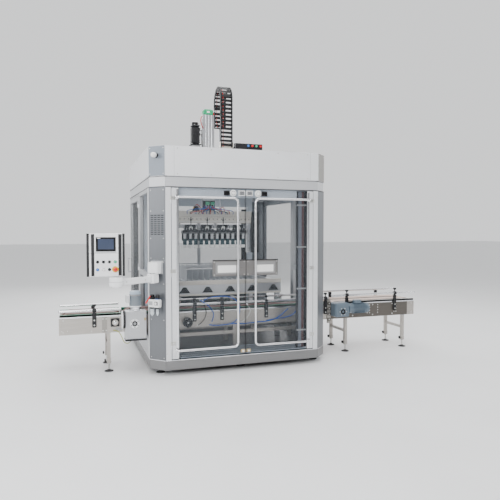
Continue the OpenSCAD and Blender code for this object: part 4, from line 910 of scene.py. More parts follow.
class PACKER_OT_lift(bpy.types.Operator):
    """Lifting profile, energy chain and servo gearmotor"""

    bl_idname = "packer.lift"
    bl_label = "Lift"

    def execute(self, context):
        loop = Piece("energy_chain_loop", "chain_loop")
        z = CHAIN_FOOT
        while z < BEND_Z:
            loop.place = Matrix.Translation((CHAIN_X, FRONT_Y, z))
            chain_link(loop)
            z += LINK
        middle = (FRONT_Y + BACK_Y) / 2
        for k in range(10):
            a = math.radians(9 + 18 * k)
            loop.place = (Matrix.Translation((CHAIN_X, middle, BEND_Z)) @ Matrix.Rotation(-a, 4, "X")
                          @ Matrix.Translation((0, -BEND_R, 0)))
            chain_link(loop)
        for z in (3.296, 3.262):
            loop.place = Matrix.Translation((CHAIN_X, BACK_Y, z))
            chain_link(loop, 0, 0.022)
        for k in range(5):
            loop.place = Matrix.Translation((CHAIN_X, BACK_Y - 0.006, CHAIN_END + k * LINK))
            w = 0.071
            for x0 in (-w, w - 0.005):
                loop.box((x0, -0.0185, -0.028), (x0 + 0.005, 0.0185, 0.028), "black_moulding")
            loop.box((-w + 0.004, -0.0185, -0.011), (w - 0.004, -0.0125, 0.011), "black_moulding")
        loop.place = Matrix.Identity(4)
        for x, look, r in ((-0.010, "red_tube", 0.005),):
            line = [(x, FRONT_Y, 2.70), (x, FRONT_Y, BEND_Z)]
            line += [(x, middle - BEND_R * math.cos(math.radians(a)),
                      BEND_Z + BEND_R * math.sin(math.radians(a))) for a in range(15, 180, 15)]
            line += [(x, BACK_Y, BEND_Z), (x, BACK_Y, 3.02)]
            loop.hose(line, r, look, 8)
        loop.done("z_chain_loop")

        p = Piece("lifting_profile", "z_axis")
        x0, x1, y0, y1 = -0.210, -0.050, 0.0, 0.100
        g, d = 0.005, 0.009
        outline = [(x0, y0)]
        for gx in (-0.170, -0.130, -0.090):
            outline += [(gx - g, y0), (gx - g, y0 + d), (gx + g, y0 + d), (gx + g, y0)]
        outline += [(x1, y0), (x1, 0.05 - g), (x1 - d, 0.05 - g), (x1 - d, 0.05 + g), (x1, 0.05 + g),
                    (x1, y1)]
        for gx in (-0.090, -0.130, -0.170):
            outline += [(gx + g, y1), (gx + g, y1 - d), (gx - g, y1 - d), (gx - g, y1)]
        outline += [(x0, y1), (x0, 0.05 + g), (x0 + d, 0.05 + g), (x0 + d, 0.05 - g), (x0, 0.05 - g)]
        p.prism(outline, "XY", PROFILE_FOOT, PROFILE_TOP, "anodised_silver")
        # toothed rack on the servo's side
        for k in range(96):
            z = 1.90 + k * 0.0126
            p.box((x0 - 0.006, 0.012, z), (x0 + 0.001, 0.038, z + 0.006), "cast_grey", 0.0012)
        p.box((-0.196, 0.002, 3.1672), (-0.064, 0.098, 3.235), "cap_green", 0.008)
        p.box((-0.180, 0.016, 3.233), (-0.080, 0.084, 3.243), "cap_green", 0.004)
        p.box((-0.150, 0.0008, 3.192), (-0.112, 0.003, 3.216), "label_blank", 0.0006)
        p.box((-0.060, 0.020, 3.150), (-0.046, 0.080, 3.205), "red_moulding", 0.002)
        p.box((0.030, 0.040, PROFILE_FOOT), (0.050, 0.058, 2.990), "bright_edge", 0.002)
        p.box((-0.0497, -0.005, 2.990), (0.113, 0.045, 3.002), "anodised_black", 0.002)
        for k in range(4):
            p.place = Matrix.Translation((CHAIN_X, BACK_Y, 3.030 + k * LINK))
            for x in (-0.080, 0.074):
                p.box((x, -0.025, -0.028), (x + 0.006, 0.025, 0.027), "black_moulding", 0.003)
            p.box((-0.076, 0.017, -0.011), (0.076, 0.024, 0.011), "black_moulding", 0.0015)
        p.place = Matrix.Identity(4)
        # loops of red and black cable at the profile's head
        p.hose(curved([(-0.20, -0.004, 2.98), (-0.226, -0.006, 3.02), (-0.236, 0.0, 3.08),
                       (-0.226, 0.01, 3.13), (-0.205, 0.02, 3.15)], 6), 0.006, "red_tube")
        p.hose(curved([(-0.048, 0.03, 3.10), (-0.02, 0.03, 3.09), (0.0, 0.03, 3.05), (0.005, 0.03, 3.01)],
                      6), 0.006, "red_tube")
        p.hose(curved([(-0.048, 0.05, 3.13), (-0.015, 0.05, 3.125), (0.012, 0.045, 3.08),
                       (0.02, 0.04, 3.01)], 6), 0.004, "black_rubber")
        p.done("z_column")

        m = Piece("lift_servo", "y_carriage")
        m.place = Matrix.Translation((SERVO_X, 0, 0))
        m.box((-0.055, -0.055, 2.6802), (0.055, 0.055, 2.745), "cast_grey", 0.006)
        m.box((-0.070, -0.070, 2.745), (0.070, 0.070, 2.757), "anodised_black", 0.003)
        for sx in (-1, 1):
            for sy in (-1, 1):
                m.screw((sx * 0.058, sy * 0.058, 2.757), Z, 0.006, "zinc_screw")
        m.box((-0.055, -0.055, 2.757), (0.055, 0.055, 2.990), "black_moulding", 0.016)
        for z in (2.775, 2.800, 2.965):
            m.box((-0.0565, -0.0565, z), (0.0565, 0.0565, z + 0.010), "anodised_black", 0.008)
        m.box((-0.056, -0.056, 2.990), (0.056, 0.056, 3.010), "anodised_black", 0.006)
        m.turned((0, 0, 3.010), Z, [(0, 0), (0.048, 0), (0.048, 0.030), (0.044, 0.040), (0.030, 0.046),
                                    (0.022, 0.048), (0, 0.049)], "black_gloss", 36)
        for z in (2.94, 2.88):
            m.box((0.058, -0.016, z), (0.070, 0.016, z + 0.035), "anodised_black", 0.003)
            m.rod((0.070, 0, z + 0.017), (0.084, 0, z + 0.017), 0.011, "chrome")
        m.hose(curved([(0.082, 0, 2.957), (0.092, 0.0, 2.94), (0.088, -0.01, 2.88), (0.086, -0.03, 2.80),
                       (0.086, -0.06, 2.72), (0.09, -0.09, 2.64)], 5), 0.006, "black_rubber")
        m.hose(curved([(0.082, 0, 2.897), (0.09, 0.004, 2.87), (0.086, -0.02, 2.78), (0.084, -0.05, 2.70),
                       (0.08, -0.08, 2.63)], 5), 0.005, "black_rubber")
        m.done("z_servo")

        tray = Piece("roof_cable_tray", "cabinet")
        tray.prism([(-0.101, TRAY_LOW), (-0.101, TRAY_HIGH), (0.231, TRAY_HIGH), (0.231, TRAY_LOW)],
                   "XZ", TRAY_FRONT, -1.069, "black_moulding", 0.003)
        tray.box((-0.116, -1.146, 2.5045), (0.246, -1.055, 2.5145), "anodised_black", 0.002)
        tray.prism([(-0.160, 2.5045), (-0.101, 2.575), (-0.101, 2.5045)], "XZ", -1.130, -1.070,
                   "black_moulding", 0.001)
        for x, look in ((0.055, "blue_moulding"), (0.105, "red_moulding"), (0.155, "green_moulding"),
                        (0.205, "red_moulding")):
            tray.turned((x, TRAY_FRONT, 2.583), -Y, [(0, 0), (0.014, 0), (0.014, 0.006), (0.010, 0.009),
                                                 (0, 0.009)], look, 20)
        tray.done()
        return {"FINISHED"}


# ---------- heads ----------

ROW_X, ROW_Y, PITCH = -0.0375, 0.046, 0.075


class PACKER_OT_heads(bpy.types.Operator):
    """Beams, valve block, carriages, cylinders and gripping cups"""

    bl_idname = "packer.heads"
    bl_label = "Heads"

    def execute(self, context):
        b = Piece("head_beams", "z_axis")
        b.box((-0.550, 0.0, 1.791), (0.484, 0.100, 1.8718), "cream_enamel", 0.004)
        b.box((0.486, 0.010, 1.300), (0.598, 0.110, 1.790), "anodised_black", 0.005)
        b.box((0.486, 0.002, 1.792), (0.598, 0.102, 1.870), "anodised_black", 0.004)
        for k in range(22):
            z = 1.315 + k * 0.0215
            b.box((0.488, 0.006, z), (0.596, 0.012, z + 0.012), "black_moulding", 0.002)
        b.box((-0.550, 0.010, 1.707), (0.480, 0.090, 1.7906), "cream_enamel", 0.004)
        b.box((-0.548, 0.003, 1.722), (0.470, 0.011, 1.730), "white_enamel", 0.001)
        for k in range(18):
            x = -0.52 + k * 0.057
            b.turned((x, 0.0105, 1.762), -Y, [(0, 0), (0.007, 0), (0.007, 0.001), (0, 0.001)],
                     "anodised_black", 14)
        b.box((-0.550, 0.055, 1.640), (0.479, 0.085, 1.690), "anodised_silver", 0.003)
        for x in (-0.540, -0.037, 0.440):
            b.box((x, 0.050, 1.6903), (x + 0.030, 0.090, 1.7067), "cast_grey", 0.002)
        b.box((0.430, 0.030, 1.300), (0.479, 0.110, 1.6396), "anodised_silver", 0.003)
        b.box((0.430, 0.020, 1.640), (0.479, 0.054, 1.7067), "anodised_silver", 0.003)
        b.box((0.436, 0.0285, 1.32), (0.442, 0.031, 1.62), "black_rubber", 0.0005)
        b.box((0.466, 0.0285, 1.32), (0.472, 0.031, 1.62), "black_rubber", 0.0005)
        for z in (1.36, 1.46, 1.56):
            b.screw((0.454, 0.030, z), -Y, 0.006, "zinc_screw")
        for i in range(4):
            x = ROW_X + (i - 1.5) * 0.225
            b.rod((x, 0.004, 1.652), (x, 0.004, 1.788), 0.0055, "anodised_black")
            b.box((x - 0.012, -0.004, 1.742), (x + 0.012, 0.012, 1.758), "anodised_black", 0.002)
        b.done("head_beam")

        v = Piece("valve_block", "z_axis")
        x0 = -0.200
        v.box((x0 - 0.015, -0.008, 1.880), (x0 + 0.155, -0.0003, 2.010), "anodised_black", 0.002)
        for i in range(8):
            v.box((x0 + i * 0.0175, -0.048, 1.950), (x0 + i * 0.0175 + 0.0165, -0.008, 1.992),
                  "green_moulding" if i % 4 else "anodised_black", 0.0025)
            v.rod((x0 + i * 0.0175 + 0.008, -0.030, 1.932), (x0 + i * 0.0175 + 0.008, -0.030, 1.951),
                  0.0055, "chrome" if i % 2 else "black_moulding")
        v.box((x0, -0.044, 1.885), (x0 + 0.140, -0.008, 1.915), "black_moulding", 0.003)
        v.prism([(-0.345, 1.874), (-0.255, 1.874), (-0.275, 1.935), (-0.325, 1.935)], "XZ", 0.01, 0.07,
                "black_moulding", 0.004)
        looks = ("blue_tube", "black_rubber", "red_tube", "blue_tube", "cyan_tube", "black_rubber",
                 "blue_tube", "red_tube")
        for i in range(20):
            x = x0 + 0.004 + i * 0.007
            end = -0.43 + i * 0.033 + 0.012 * math.sin(i * 2.4)
            dip = 1.872 + 0.014 * math.cos(i * 1.7)
            out = -0.034 - 0.012 * (1 + math.sin(i * 3.1))
            v.hose(curved([(x, -0.030, 1.936), (x, out, 1.912),
                           (x * 0.62 + end * 0.38, out - 0.008, dip + 0.012),
                           (x * 0.2 + end * 0.8, out, dip), (end, -0.020, dip - 0.018),
                           (end + 0.004, -0.004, 1.83)], 5), 0.0045, looks[i % 8], 8)
        v.hose(curved([(-0.32, -0.012, 1.93), (-0.30, -0.035, 1.955), (-0.26, -0.04, 1.92),
                       (-0.235, -0.03, 1.88), (-0.23, -0.006, 1.84)], 6), 0.005, "red_tube", 8)
        v.hose(curved([(0.02, -0.004, 1.86), (0.03, -0.03, 1.90), (0.055, -0.035, 1.925),
                       (0.08, -0.03, 1.90), (0.085, -0.006, 1.86)], 6), 0.005, "red_tube", 8)
        v.box((-0.345, -0.010, 1.905), (-0.335, 0.002, 1.925), "yellow_moulding", 0.001)
        v.done("valve_island")

        for i in range(4):
            left = ROW_X + (i - 2) * 0.225
            g = Piece("head_carriage_%d" % (i + 1), "z_axis" if i == 3 else "head_carriage_%d" % (i + 1))
            g.box((left + 0.0015, 0.0, 1.566), (left + 0.2235, 0.130, 1.613), "anodised_black", 0.003)
            g.box((left + 0.040, 0.034, 1.6125), (left + 0.185, 0.054, 1.688), "anodised_black", 0.002)
            g.box((left + 0.040, 0.086, 1.6125), (left + 0.185, 0.106, 1.688), "anodised_black", 0.002)
            g.box((left + 0.010, -0.0012, 1.574), (left + 0.215, 0.001, 1.579), "cast_grey", 0.0005)
            g.box((left + 0.003, 0.080, 1.468), (left + 0.222, 0.094, 1.565), "anodised_black", 0.002)
            for h in range(3):
                x = left + (h + 0.5) * PITCH
                g.turned((x, ROW_Y, 1.462), Z, [(0, 0), (0.018, 0), (0.020, 0.002), (0.020, 0.016),
                                                (0.0175, 0.018), (0.0175, 0.086),
                                                (0.020, 0.088), (0.020, 0.104), (0, 0.104)],
                                                "anodised_silver", 28)
                g.turned((x, ROW_Y, 1.482), Z, [(0.0176, 0), (0.0192, 0), (0.0192, 0.004), (0.0176, 0.004)],
                         "black_rubber", 28, True)
                for dx in (-0.018, 0.018):
                    g.rod((x + dx, 0.016, 1.613), (x + dx, 0.016, 1.640), 0.006, "chrome", n=16)
                    g.hose(curved([(x + dx, 0.016, 1.638), (x + dx, 0.014, 1.655),
                            (x + dx * 0.4, 0.006, 1.672), (x, 0.004, 1.69)], 4), 0.003, "black_rubber", 6)
                g.box((x - 0.010, 0.006, 1.613), (x + 0.010, 0.028, 1.628), "black_moulding", 0.002)
                g.screw((x, 0.116, 1.613), Z, 0.005, "zinc_screw")
            x = left + 1.5 * PITCH
            g.prism([(x - 0.026, 1.640), (x + 0.026, 1.640), (x + 0.010, 1.672), (x - 0.010, 1.672)], "XZ",
                    0.002, 0.020, "white_moulding", 0.002)
            g.rod((x, 0.011, 1.671), (x, 0.011, 1.690), 0.006, "white_moulding", n=16)
            for dx in (-0.020, 0.020):
                g.rod((x + dx, 0.011, 1.641), (x + dx, 0.011, 1.622), 0.006, "white_moulding", n=16)
            g.done("head_group_%d" % (i + 1))

            c = Piece("gripping_cups_%d" % (i + 1), "gripper_row_%d" % (i + 1))
            for h in range(3):
                x = left + (h + 0.5) * PITCH
                c.turned((x, ROW_Y, 1.414), Z, [(0, 0), (0.024, 0), (0.026, 0.002), (0.026, 0.030),
                                                (0.0245, 0.032), (0.0245, 0.036), (0.026, 0.038),
                                                (0.026, 0.080), (0.0245, 0.082), (0.0201, 0.082),
                                                (0.0201, 0.009), (0, 0.009)], "teal_moulding", 32)
                c.turned((x, ROW_Y, 1.372), Z, [(0.0195, 0), (0.029, 0), (0.030, 0.0015), (0.030, 0.006),
                                                (0.0275, 0.010), (0.0265, 0.020),
                                                (0.0245, 0.030), (0.024, 0.0415), (0.0, 0.0415),
                                                (0.0, 0.033), (0.019, 0.033), (0.019, 0.001)],
                         "white_moulding", 32, True)
            c.done("grippers_%d" % (i + 1))
        return {"FINISHED"}


# ---------- crate conveyor ----------

CONV_FRONT, CONV_BACK = -0.790, -0.340
SHAFT_Z, WRAP = 0.560, 0.115
STRANDS = ((-0.745, -0.600), (-0.530, -0.385))
DRIVE_X, SHAFT_X, OUTFEED_X = -1.210, -1.225, 1.410


class PACKER_OT_conveyor(bpy.types.Operator):
    """Chains, rails, clamps, bolts and drives of the crate conveyor"""

    bl_idname = "packer.conveyor"
    bl_label = "Crate conveyor"

    def execute(self, context):
        c = Piece("slat_chains", "cabinet")
        pitch = 0.0381
        for x0, x1 in ((-1.910, -1.462), (-1.225, 1.160), (1.410, 2.480)):
            run, bend = x1 - x0, math.pi * WRAP
            total = 2 * run + 2 * bend
            count = round(total / pitch)
            for k in range(count):
                s = k * total / count
                if s < run:
                    m = Matrix.Translation((x0 + s, 0, SHAFT_Z)) @ Matrix.Translation((0, 0, WRAP))
                elif s < run + bend:
                    m = Matrix.Translation((x1, 0, SHAFT_Z)) @ Matrix.Rotation((s - run) / WRAP, 4,
                            "Y") @ Matrix.Translation((0, 0, WRAP))
                elif s < 2 * run + bend:
                    m = Matrix.Translation((x1 - (s - run - bend), 0, SHAFT_Z)) @ Matrix.Rotation(math.pi,
                            4, "Y") @ Matrix.Translation((0, 0, WRAP))
                else:
                    m = (Matrix.Translation((x0, 0,
                            SHAFT_Z)) @ Matrix.Rotation(math.pi + (s - 2 * run - bend) / WRAP, 4, "Y")
                         @ Matrix.Translation((0, 0, WRAP)))
                c.place = m
                for y0, y1 in STRANDS:
                    c.box((-0.0183, y0, -0.0045), (0.0183, y1, 0), "belt_tan" if x0 > 1 else "chain_brown",
                          0.0012)
                    c.box((-0.016, (y0 + y1) / 2 - 0.022, -0.0115), (0.016, (y0 + y1) / 2 + 0.022, -0.004),
                          "cast_grey", 0.001)
        c.place = Matrix.Identity(4)
        c.done("conveyor_chains")

        f = Piece("conveyor_details", "cabinet")
        ends = ((-2.030, -1.345), (-1.340, 1.280), (1.285, 2.600))
        for x0, x1 in ends:
            for y, out in ((CONV_FRONT, -1), (CONV_BACK, 1)):
                n = max(2, round((x1 - x0) / 0.30))
                for i in range(n + 1):
                    x = x0 + 0.045 + i * (x1 - x0 - 0.09) / n
                    if out < 0 and (-1.34 < x < -1.08 or 1.29 < x < 1.52):
                        continue
                    for z in (0.475, 0.608):
                        f.screw((x, y, z), Y * out, 0.0065, "zinc_screw")
                f.box((x0 + 0.002, y - 0.0015 * (out < 0), 0.630), (x1 - 0.002,
                        y + 0.0015 * (out > 0) + 0.0001, 0.645), "bright_edge", 0.0005)
                inner = y + 0.0064 if out < 0 else y - 0.030
                f.box((x0 + 0.005, inner, 0.6369), (x1 - 0.005, inner + 0.0236, 0.6684), "white_moulding"
                      if x0 > 1 else "wear_green", 0.002)
        f.box((1.288, CONV_FRONT - 0.0015, 0.449), (2.490, CONV_FRONT - 0.0001, 0.631), "outfeed_steel",
              0.0005)
        for x in (1.86, 1.895, 2.02, 2.28, 2.31):
            for z in (0.50, 0.535, 0.57, 0.605):
                f.screw((x, CONV_FRONT - 0.0012, z), -Y, 0.0055, "zinc_screw")
        f.box((1.250, CONV_FRONT - 0.018, 0.400), (1.302, CONV_FRONT - 0.0017, 0.700), "splice_steel", 0.003)
        for z in (0.43, 0.50, 0.57, 0.64):
            f.box((1.252, CONV_FRONT - 0.026, z), (1.300, CONV_FRONT - 0.017, z + 0.034), "outfeed_steel",
                  0.003)
            f.screw((1.276, CONV_FRONT - 0.026, z + 0.017), -Y, 0.006, "zinc_screw")
        # splice plates and the idler's bearing
        f.box((-1.425, CONV_FRONT - 0.006, 0.470), (-1.345, CONV_FRONT - 0.0002, 0.500), "cast_grey", 0.001)
        f.box((-1.480, CONV_FRONT - 0.0175, 0.513), (-1.380, CONV_FRONT - 0.0003, 0.613), "black_moulding",
              0.005)
        f.turned((-1.430, CONV_FRONT - 0.0175, 0.563), -Y, [(0, 0), (0.028, 0), (0.028, 0.002),
                (0.025, 0.008), (0.016, 0.012), (0, 0.0135)], "bright_edge", 36)
        for sx in (-1, 1):
            for sz in (-1, 1):
                f.screw((-1.430 + sx * 0.039, CONV_FRONT - 0.0175, 0.563 + sz * 0.039), -Y, 0.004,
                        "black_moulding")
        for x in (-1.545,):
            f.box((x - 0.028, CONV_FRONT - 0.004, 0.455), (x + 0.028, CONV_FRONT - 0.0002, 0.628),
                  "splice_steel", 0.001)
            for z in (0.475, 0.608):
                for dx in (-0.018, 0.018):
                    f.screw((x + dx, CONV_FRONT - 0.004, z), -Y, 0.006, "zinc_screw")
        # leg clamps with their knobs
        for x in (-1.5, 1.54, 2.43):
            for y in (-0.7647, -0.3653):
                f.box((x - 0.0225, y - 0.0225, 0.098), (x + 0.0225, y + 0.0225, 0.150), "warm_steel", 0.002)
                f.rod((x - 0.0225, y, 0.128), (x - 0.034, y, 0.128), 0.006, "zinc_screw")
                f.turned((x - 0.034, y, 0.128), -X, [(0, 0), (0.016, 0), (0.019, 0.004), (0.019, 0.012),
                                                     (0.015, 0.016), (0, 0.016)], "black_moulding", 18)
                f.box((x - 0.0225, y - 0.0225, 0.440), (x + 0.0225, y + 0.0225, 0.522), "cast_grey", 0.002)
        f.done()

        g = Piece("guide_rail_set", "cabinet")
        y = CONV_FRONT - 0.012
        for x0, x1, z in ((-2.030, -1.360, 0.712), (-1.060, 1.270, 0.728), (1.300, 2.600, 0.755)):
            for yy in (y, CONV_BACK + 0.012):
                if yy != y and x0 == -1.060:
                    continue
                g.rod((x0, yy, z), (x1, yy, z), 0.015, "polished_tube", 0.002, 28)
                for x, d in ((x0, -1), (x1, 1)):
                    g.turned((x - d * 0.004, yy, z), X * d, [(0, 0), (0.0153, 0), (0.0153, 0.003),
                            (0.012, 0.0045), (0, 0.0045)], "black_moulding", 24)
        for x, z in ((-1.656, 0.712), (-0.950, 0.728), (-0.509, 0.728), (-0.170, 0.728), (0.404, 0.728),
                     (0.900, 0.728), (1.225, 0.728), (1.540, 0.755), (2.280, 0.755)):
            g.box((x - 0.022, CONV_FRONT - 0.024, 0.520), (x + 0.022, CONV_FRONT - 0.0003, z - 0.030),
                  "black_moulding", 0.004)
            g.box((x - 0.014, y - 0.008, z - 0.034), (x + 0.014, y + 0.008, z - 0.016), "black_moulding",
                  0.002)
            g.ring((x - 0.022, y, z), (x + 0.022, y, z), 0.0218, 0.0152, "black_moulding", 28, 0.002)
            for zz in (0.545, 0.600):
                g.screw((x, CONV_FRONT - 0.024, zz), -Y, 0.006, "zinc_screw")
            g.turned((x, y, z + 0.019), Z, [(0, 0), (0.010, 0), (0.007, 0.004), (0.007, 0.018),
                                            (0.010, 0.024), (0.020, 0.030),
                                            (0.022, 0.034), (0.022, 0.046), (0.019, 0.050), (0, 0.050)],
                                            "black_moulding", 20)
        for x, z in ((-1.656, 0.712), (1.540, 0.755), (2.280, 0.755)):
            g.box((x - 0.022, CONV_BACK + 0.0003, 0.520), (x + 0.022, CONV_BACK + 0.024, z - 0.0155),
                  "black_moulding", 0.003)
        g.done("guide_rails")

        h = Piece("conveyor_tubes", "cabinet")
        for look, r, route in HOSE_ARCS:
            h.hose(curved([Vector(q) / 1000 for q in route], 5), r, look, 10)
            for end in (route[0], route[-1]):
                q = Vector(end) / 1000
                h.rod((q.x, q.y - 0.004, q.z), (q.x, CONV_FRONT - 0.0003, q.z), 0.009, "chrome", n=16)
        h.done()

        w = Piece("rail_wheel", "rail_handwheel")
        cx, cz, wy = -0.597, 0.516, CONV_FRONT - 0.040
        rim = []
        for k in range(16):
            a = 2 * math.pi * k / 16
            rim.append((0.050 + 0.008 * math.cos(a), 0.008 * math.sin(a)))
        w.turned((cx, wy - 0.008, cz), Y, rim, "black_gloss", 48, True)
        w.turned((cx, wy - 0.006, cz), -Y, [(0, -0.006), (0.046, -0.006), (0.050, 0), (0.046, 0.002),
                (0.024, -0.001), (0.018, 0.008), (0.012, 0.011), (0, 0.012)], "black_moulding", 44)
        w.rod((cx, wy - 0.020, cz), (cx, wy - 0.017, cz), 0.008, "chrome", n=16)
        for a in (90, 210, 330):
            d = Vector((math.cos(math.radians(a)), 0, -math.sin(math.radians(a))))
            o = Vector((cx, wy - 0.009, cz))
            w.rod(o + d * 0.012, o + d * 0.046, 0.0055, "black_moulding", n=12)
        w.turned((cx, wy - 0.010, cz - 0.046), -Y, [(0, 0), (0.006, 0), (0.008, 0.008), (0.0075, 0.026),
                                                    (0.005, 0.034), (0, 0.034)], "black_gloss", 20)
        w.rod((cx, wy + 0.010, cz), (cx, CONV_BACK + 0.090, cz), 0.008, "chrome", n=20)
        w.done("handwheel")

        self.drives()
        return {"FINISHED"}

    def drives(self):
        """Infeed drive with its upright motor, and the outfeed gearmotor."""
        d = Piece("infeed_drive", "cabinet")
        x = DRIVE_X
        y0 = CONV_FRONT - 0.140
        d.box((x - 0.118, y0, 0.380), (x + 0.118, CONV_FRONT - 0.0003, 0.700), "satin_stainless", 0.006)
        d.box((x - 0.120, CONV_FRONT - 0.150, 0.365), (x + 0.120, CONV_FRONT - 0.0003, 0.3795),
              "anodised_black", 0.003)
        d.turned((x, CONV_FRONT - 0.075, 0.700), Z, [(0, 0), (0.070, 0), (0.070, 0.006), (0.062, 0.010),
                                                     (0.060, 0.030), (0.064, 0.040), (0, 0.040)],
                 "bright_edge", 40)
        # motor with fins, band and cap
        cx, cy = x, CONV_FRONT - 0.075
        d.turned((cx, cy, 0.7403), Z, [(0, 0), (0.061, 0), (0.061, 0.145), (0, 0.145)], "motor_lacquer", 40)
        for k in range(30):
            a = 2 * math.pi * k / 30
            u = Vector((math.cos(a), math.sin(a), 0))
            v = Vector((-u.y, u.x, 0)) * 0.0014
            o = Vector((cx, cy, 0))
            ring = [o + u * 0.059 - v, o + u * 0.0662 - v * 0.6, o + u * 0.0662 + v * 0.6, o + u * 0.059 + v]
            d.prism([(q.x, q.y) for q in ring], "XY", 0.756, 0.866, "motor_lacquer")
        d.ring((cx, cy, 0.742), (cx, cy, 0.756), 0.0665, 0.058, "white_enamel", 40)
        d.turned((cx, cy, 0.868), Z, [(0.060, 0), (0.0665, 0), (0.0665, 0.016), (0.060, 0.016)],
                 "cast_grey", 40, True)
        d.turned((cx, cy, 0.8856), Z, [(0, 0), (0.0625, 0), (0.0635, 0.002), (0.0635, 0.022),
                                       (0.058, 0.033), (0.045, 0.0385), (0, 0.040)], "motor_cap", 44)
        for k in range(10):
            a = 2 * math.pi * k / 10
            u = Vector((math.cos(a), math.sin(a), 0))
            d.rod(Vector((cx, cy, 0.9235)) + u * 0.020, Vector((cx, cy, 0.9205)) + u * 0.050, 0.0018,
                  "black_moulding", n=6)
        d.box((x - 0.104, cy - 0.040, 0.790), (x - 0.064, cy + 0.040, 0.880), "white_enamel", 0.005)
        d.box((x - 0.1055, cy - 0.034, 0.796), (x - 0.103, cy + 0.034, 0.874), "cast_grey", 0.001)
        # bearing rings, cover plates and a latch on the drive's front
        sx = SHAFT_X
        d.ring((sx, y0 - 0.004, SHAFT_Z), (sx, y0 + 0.001, SHAFT_Z), 0.053, 0.016, "white_enamel", 44, 0.002)
        d.ring((sx, y0 - 0.012, SHAFT_Z), (sx, y0 - 0.003, SHAFT_Z), 0.0505, 0.016, "white_enamel", 44, 0.003)
        d.ring((sx, y0 - 0.016, SHAFT_Z), (sx, y0 - 0.010, SHAFT_Z), 0.030, 0.0162, "black_moulding", 40,
               0.002)
        for k in range(6):
            a = 2 * math.pi * (k + 0.5) / 6
            d.screw((sx + 0.041 * math.cos(a), y0 - 0.012, SHAFT_Z + 0.041 * math.sin(a)), -Y, 0.0040,
                    "black_moulding")
        for px, pz in ((-0.100, 0.400), (0.100, 0.400), (-0.100, 0.680), (0.100, 0.680)):
            d.screw((x + px, y0, pz), -Y, 0.006, "zinc_screw")
        d.box((x - 0.085, y0 - 0.003, 0.395), (x + 0.085, y0 + 0.001, 0.460), "brushed_across", 0.002)
        d.box((x + 0.088, y0 - 0.008, 0.590), (x + 0.112, y0 + 0.001, 0.622), "brass_latch", 0.003)
        for z in (0.640, 0.480):
            d.box((x + 0.070, y0 - 0.003, z), (x + 0.108, y0 + 0.001, z + 0.030), "brushed_across", 0.001)
        # guard disc beside the drive
        d.turned((-1.3285, -0.895, 0.605), -X, [(0, 0), (0.096, 0), (0.098, 0.002), (0.098, 0.026),
                                                (0, 0.026)], "black_moulding", 48)
        d.turned((-1.3545, -0.895, 0.605), -X, [(0, 0), (0.100, 0), (0.102, 0.002), (0.102, 0.007),
                (0.098, 0.010), (0.070, 0.014), (0, 0.014)], "white_enamel", 48)
        g = OUTFEED_X
        gy = CONV_FRONT - 0.098
        d.box((g - 0.105, CONV_FRONT - 0.150, 0.490), (g + 0.095, CONV_FRONT - 0.0003, 0.672),
              "gearbox_lacquer", 0.012)
        d.ring((g, CONV_FRONT - 0.154, SHAFT_Z), (g, CONV_FRONT - 0.149, SHAFT_Z), 0.056, 0.016,
               "gearbox_lacquer", 40, 0.002)
        # black ring over the shaft bore, as painted shade of the hollow
        d.ring((g, CONV_FRONT - 0.157, SHAFT_Z), (g, CONV_FRONT - 0.153, SHAFT_Z), 0.034, 0.016,
               "painted_shade_black", 40, 0.001)
        for k in range(4):
            a = math.pi * (k + 0.5) / 2
            d.rod((g - 0.005 + 0.085 * math.cos(a), CONV_FRONT - 0.152, SHAFT_Z + 0.02 + 0.075 * math.sin(a)),
                  (g - 0.005 + 0.085 * math.cos(a), CONV_FRONT - 0.140,
                   SHAFT_Z + 0.02 + 0.075 * math.sin(a)), 0.012, "gearbox_lacquer", n=20)
        for k in range(6):
            a = 2 * math.pi * k / 6
            d.screw((g + 0.046 * math.cos(a), CONV_FRONT - 0.154, SHAFT_Z + 0.046 * math.sin(a)), -Y,
                    0.0045, "zinc_screw")
        d.rod((g + 0.095, gy, 0.590), (g + 0.145, gy, 0.590), 0.062, "gearbox_lacquer", 0.003, 40)
        d.rod((g + 0.1453, gy, 0.590), (g + 0.345, gy, 0.590), 0.063, "gearbox_lacquer", 0.002, 40)
        for k in range(26):
            a = 2 * math.pi * k / 26
            u = Vector((0, math.cos(a), math.sin(a)))
            v = Vector((0, -math.sin(a), math.cos(a))) * 0.0016
            o = Vector((0, gy, 0.590))
            ring = [o + u * 0.061 - v, o + u * 0.0698 - v * 0.6, o + u * 0.0698 + v * 0.6, o + u * 0.061 + v]
            d.prism([(q.y, q.z) for q in ring], "YZ", g + 0.160, g + 0.332, "gearbox_lacquer")
        d.turned((g + 0.3456, gy, 0.590), X, [(0, 0), (0.066, 0), (0.067, 0.002), (0.067, 0.030),
                (0.062, 0.044), (0.050, 0.050), (0, 0.050)], "gearbox_lacquer", 40)
        d.box((g + 0.180, gy - 0.034, 0.655), (g + 0.280, gy + 0.034, 0.700), "gearbox_lacquer", 0.006)
        d.box((g + 0.184, gy - 0.030, 0.698), (g + 0.276, gy + 0.030, 0.7035), "cast_grey", 0.002)
        d.done("conveyor_gearmotors")


# ---------- operator panel ----------

PANEL_X = -1.562
ELBOW = Vector((-1.464, -1.525, 0))
PIVOT = Vector((-1.0505, -1.1705, 0))
PANEL_FACE = -1.550
BUTTON_SPOTS = [(PANEL_X - 0.084 + 0.004 + col * 0.056, z) for z in (1.297, 1.221) for col in range(4)]
BUTTONS = (("button_black_1", "black_moulding"), ("button_black_2", "black_moulding"),
           ("button_black_3", "black_moulding"),
           ("button_green", "green_moulding"), ("button_blue", "blue_moulding"),
           ("button_white", "white_moulding"),
           ("button_black_4", "black_moulding"), ("emergency_stop", "red_moulding"))


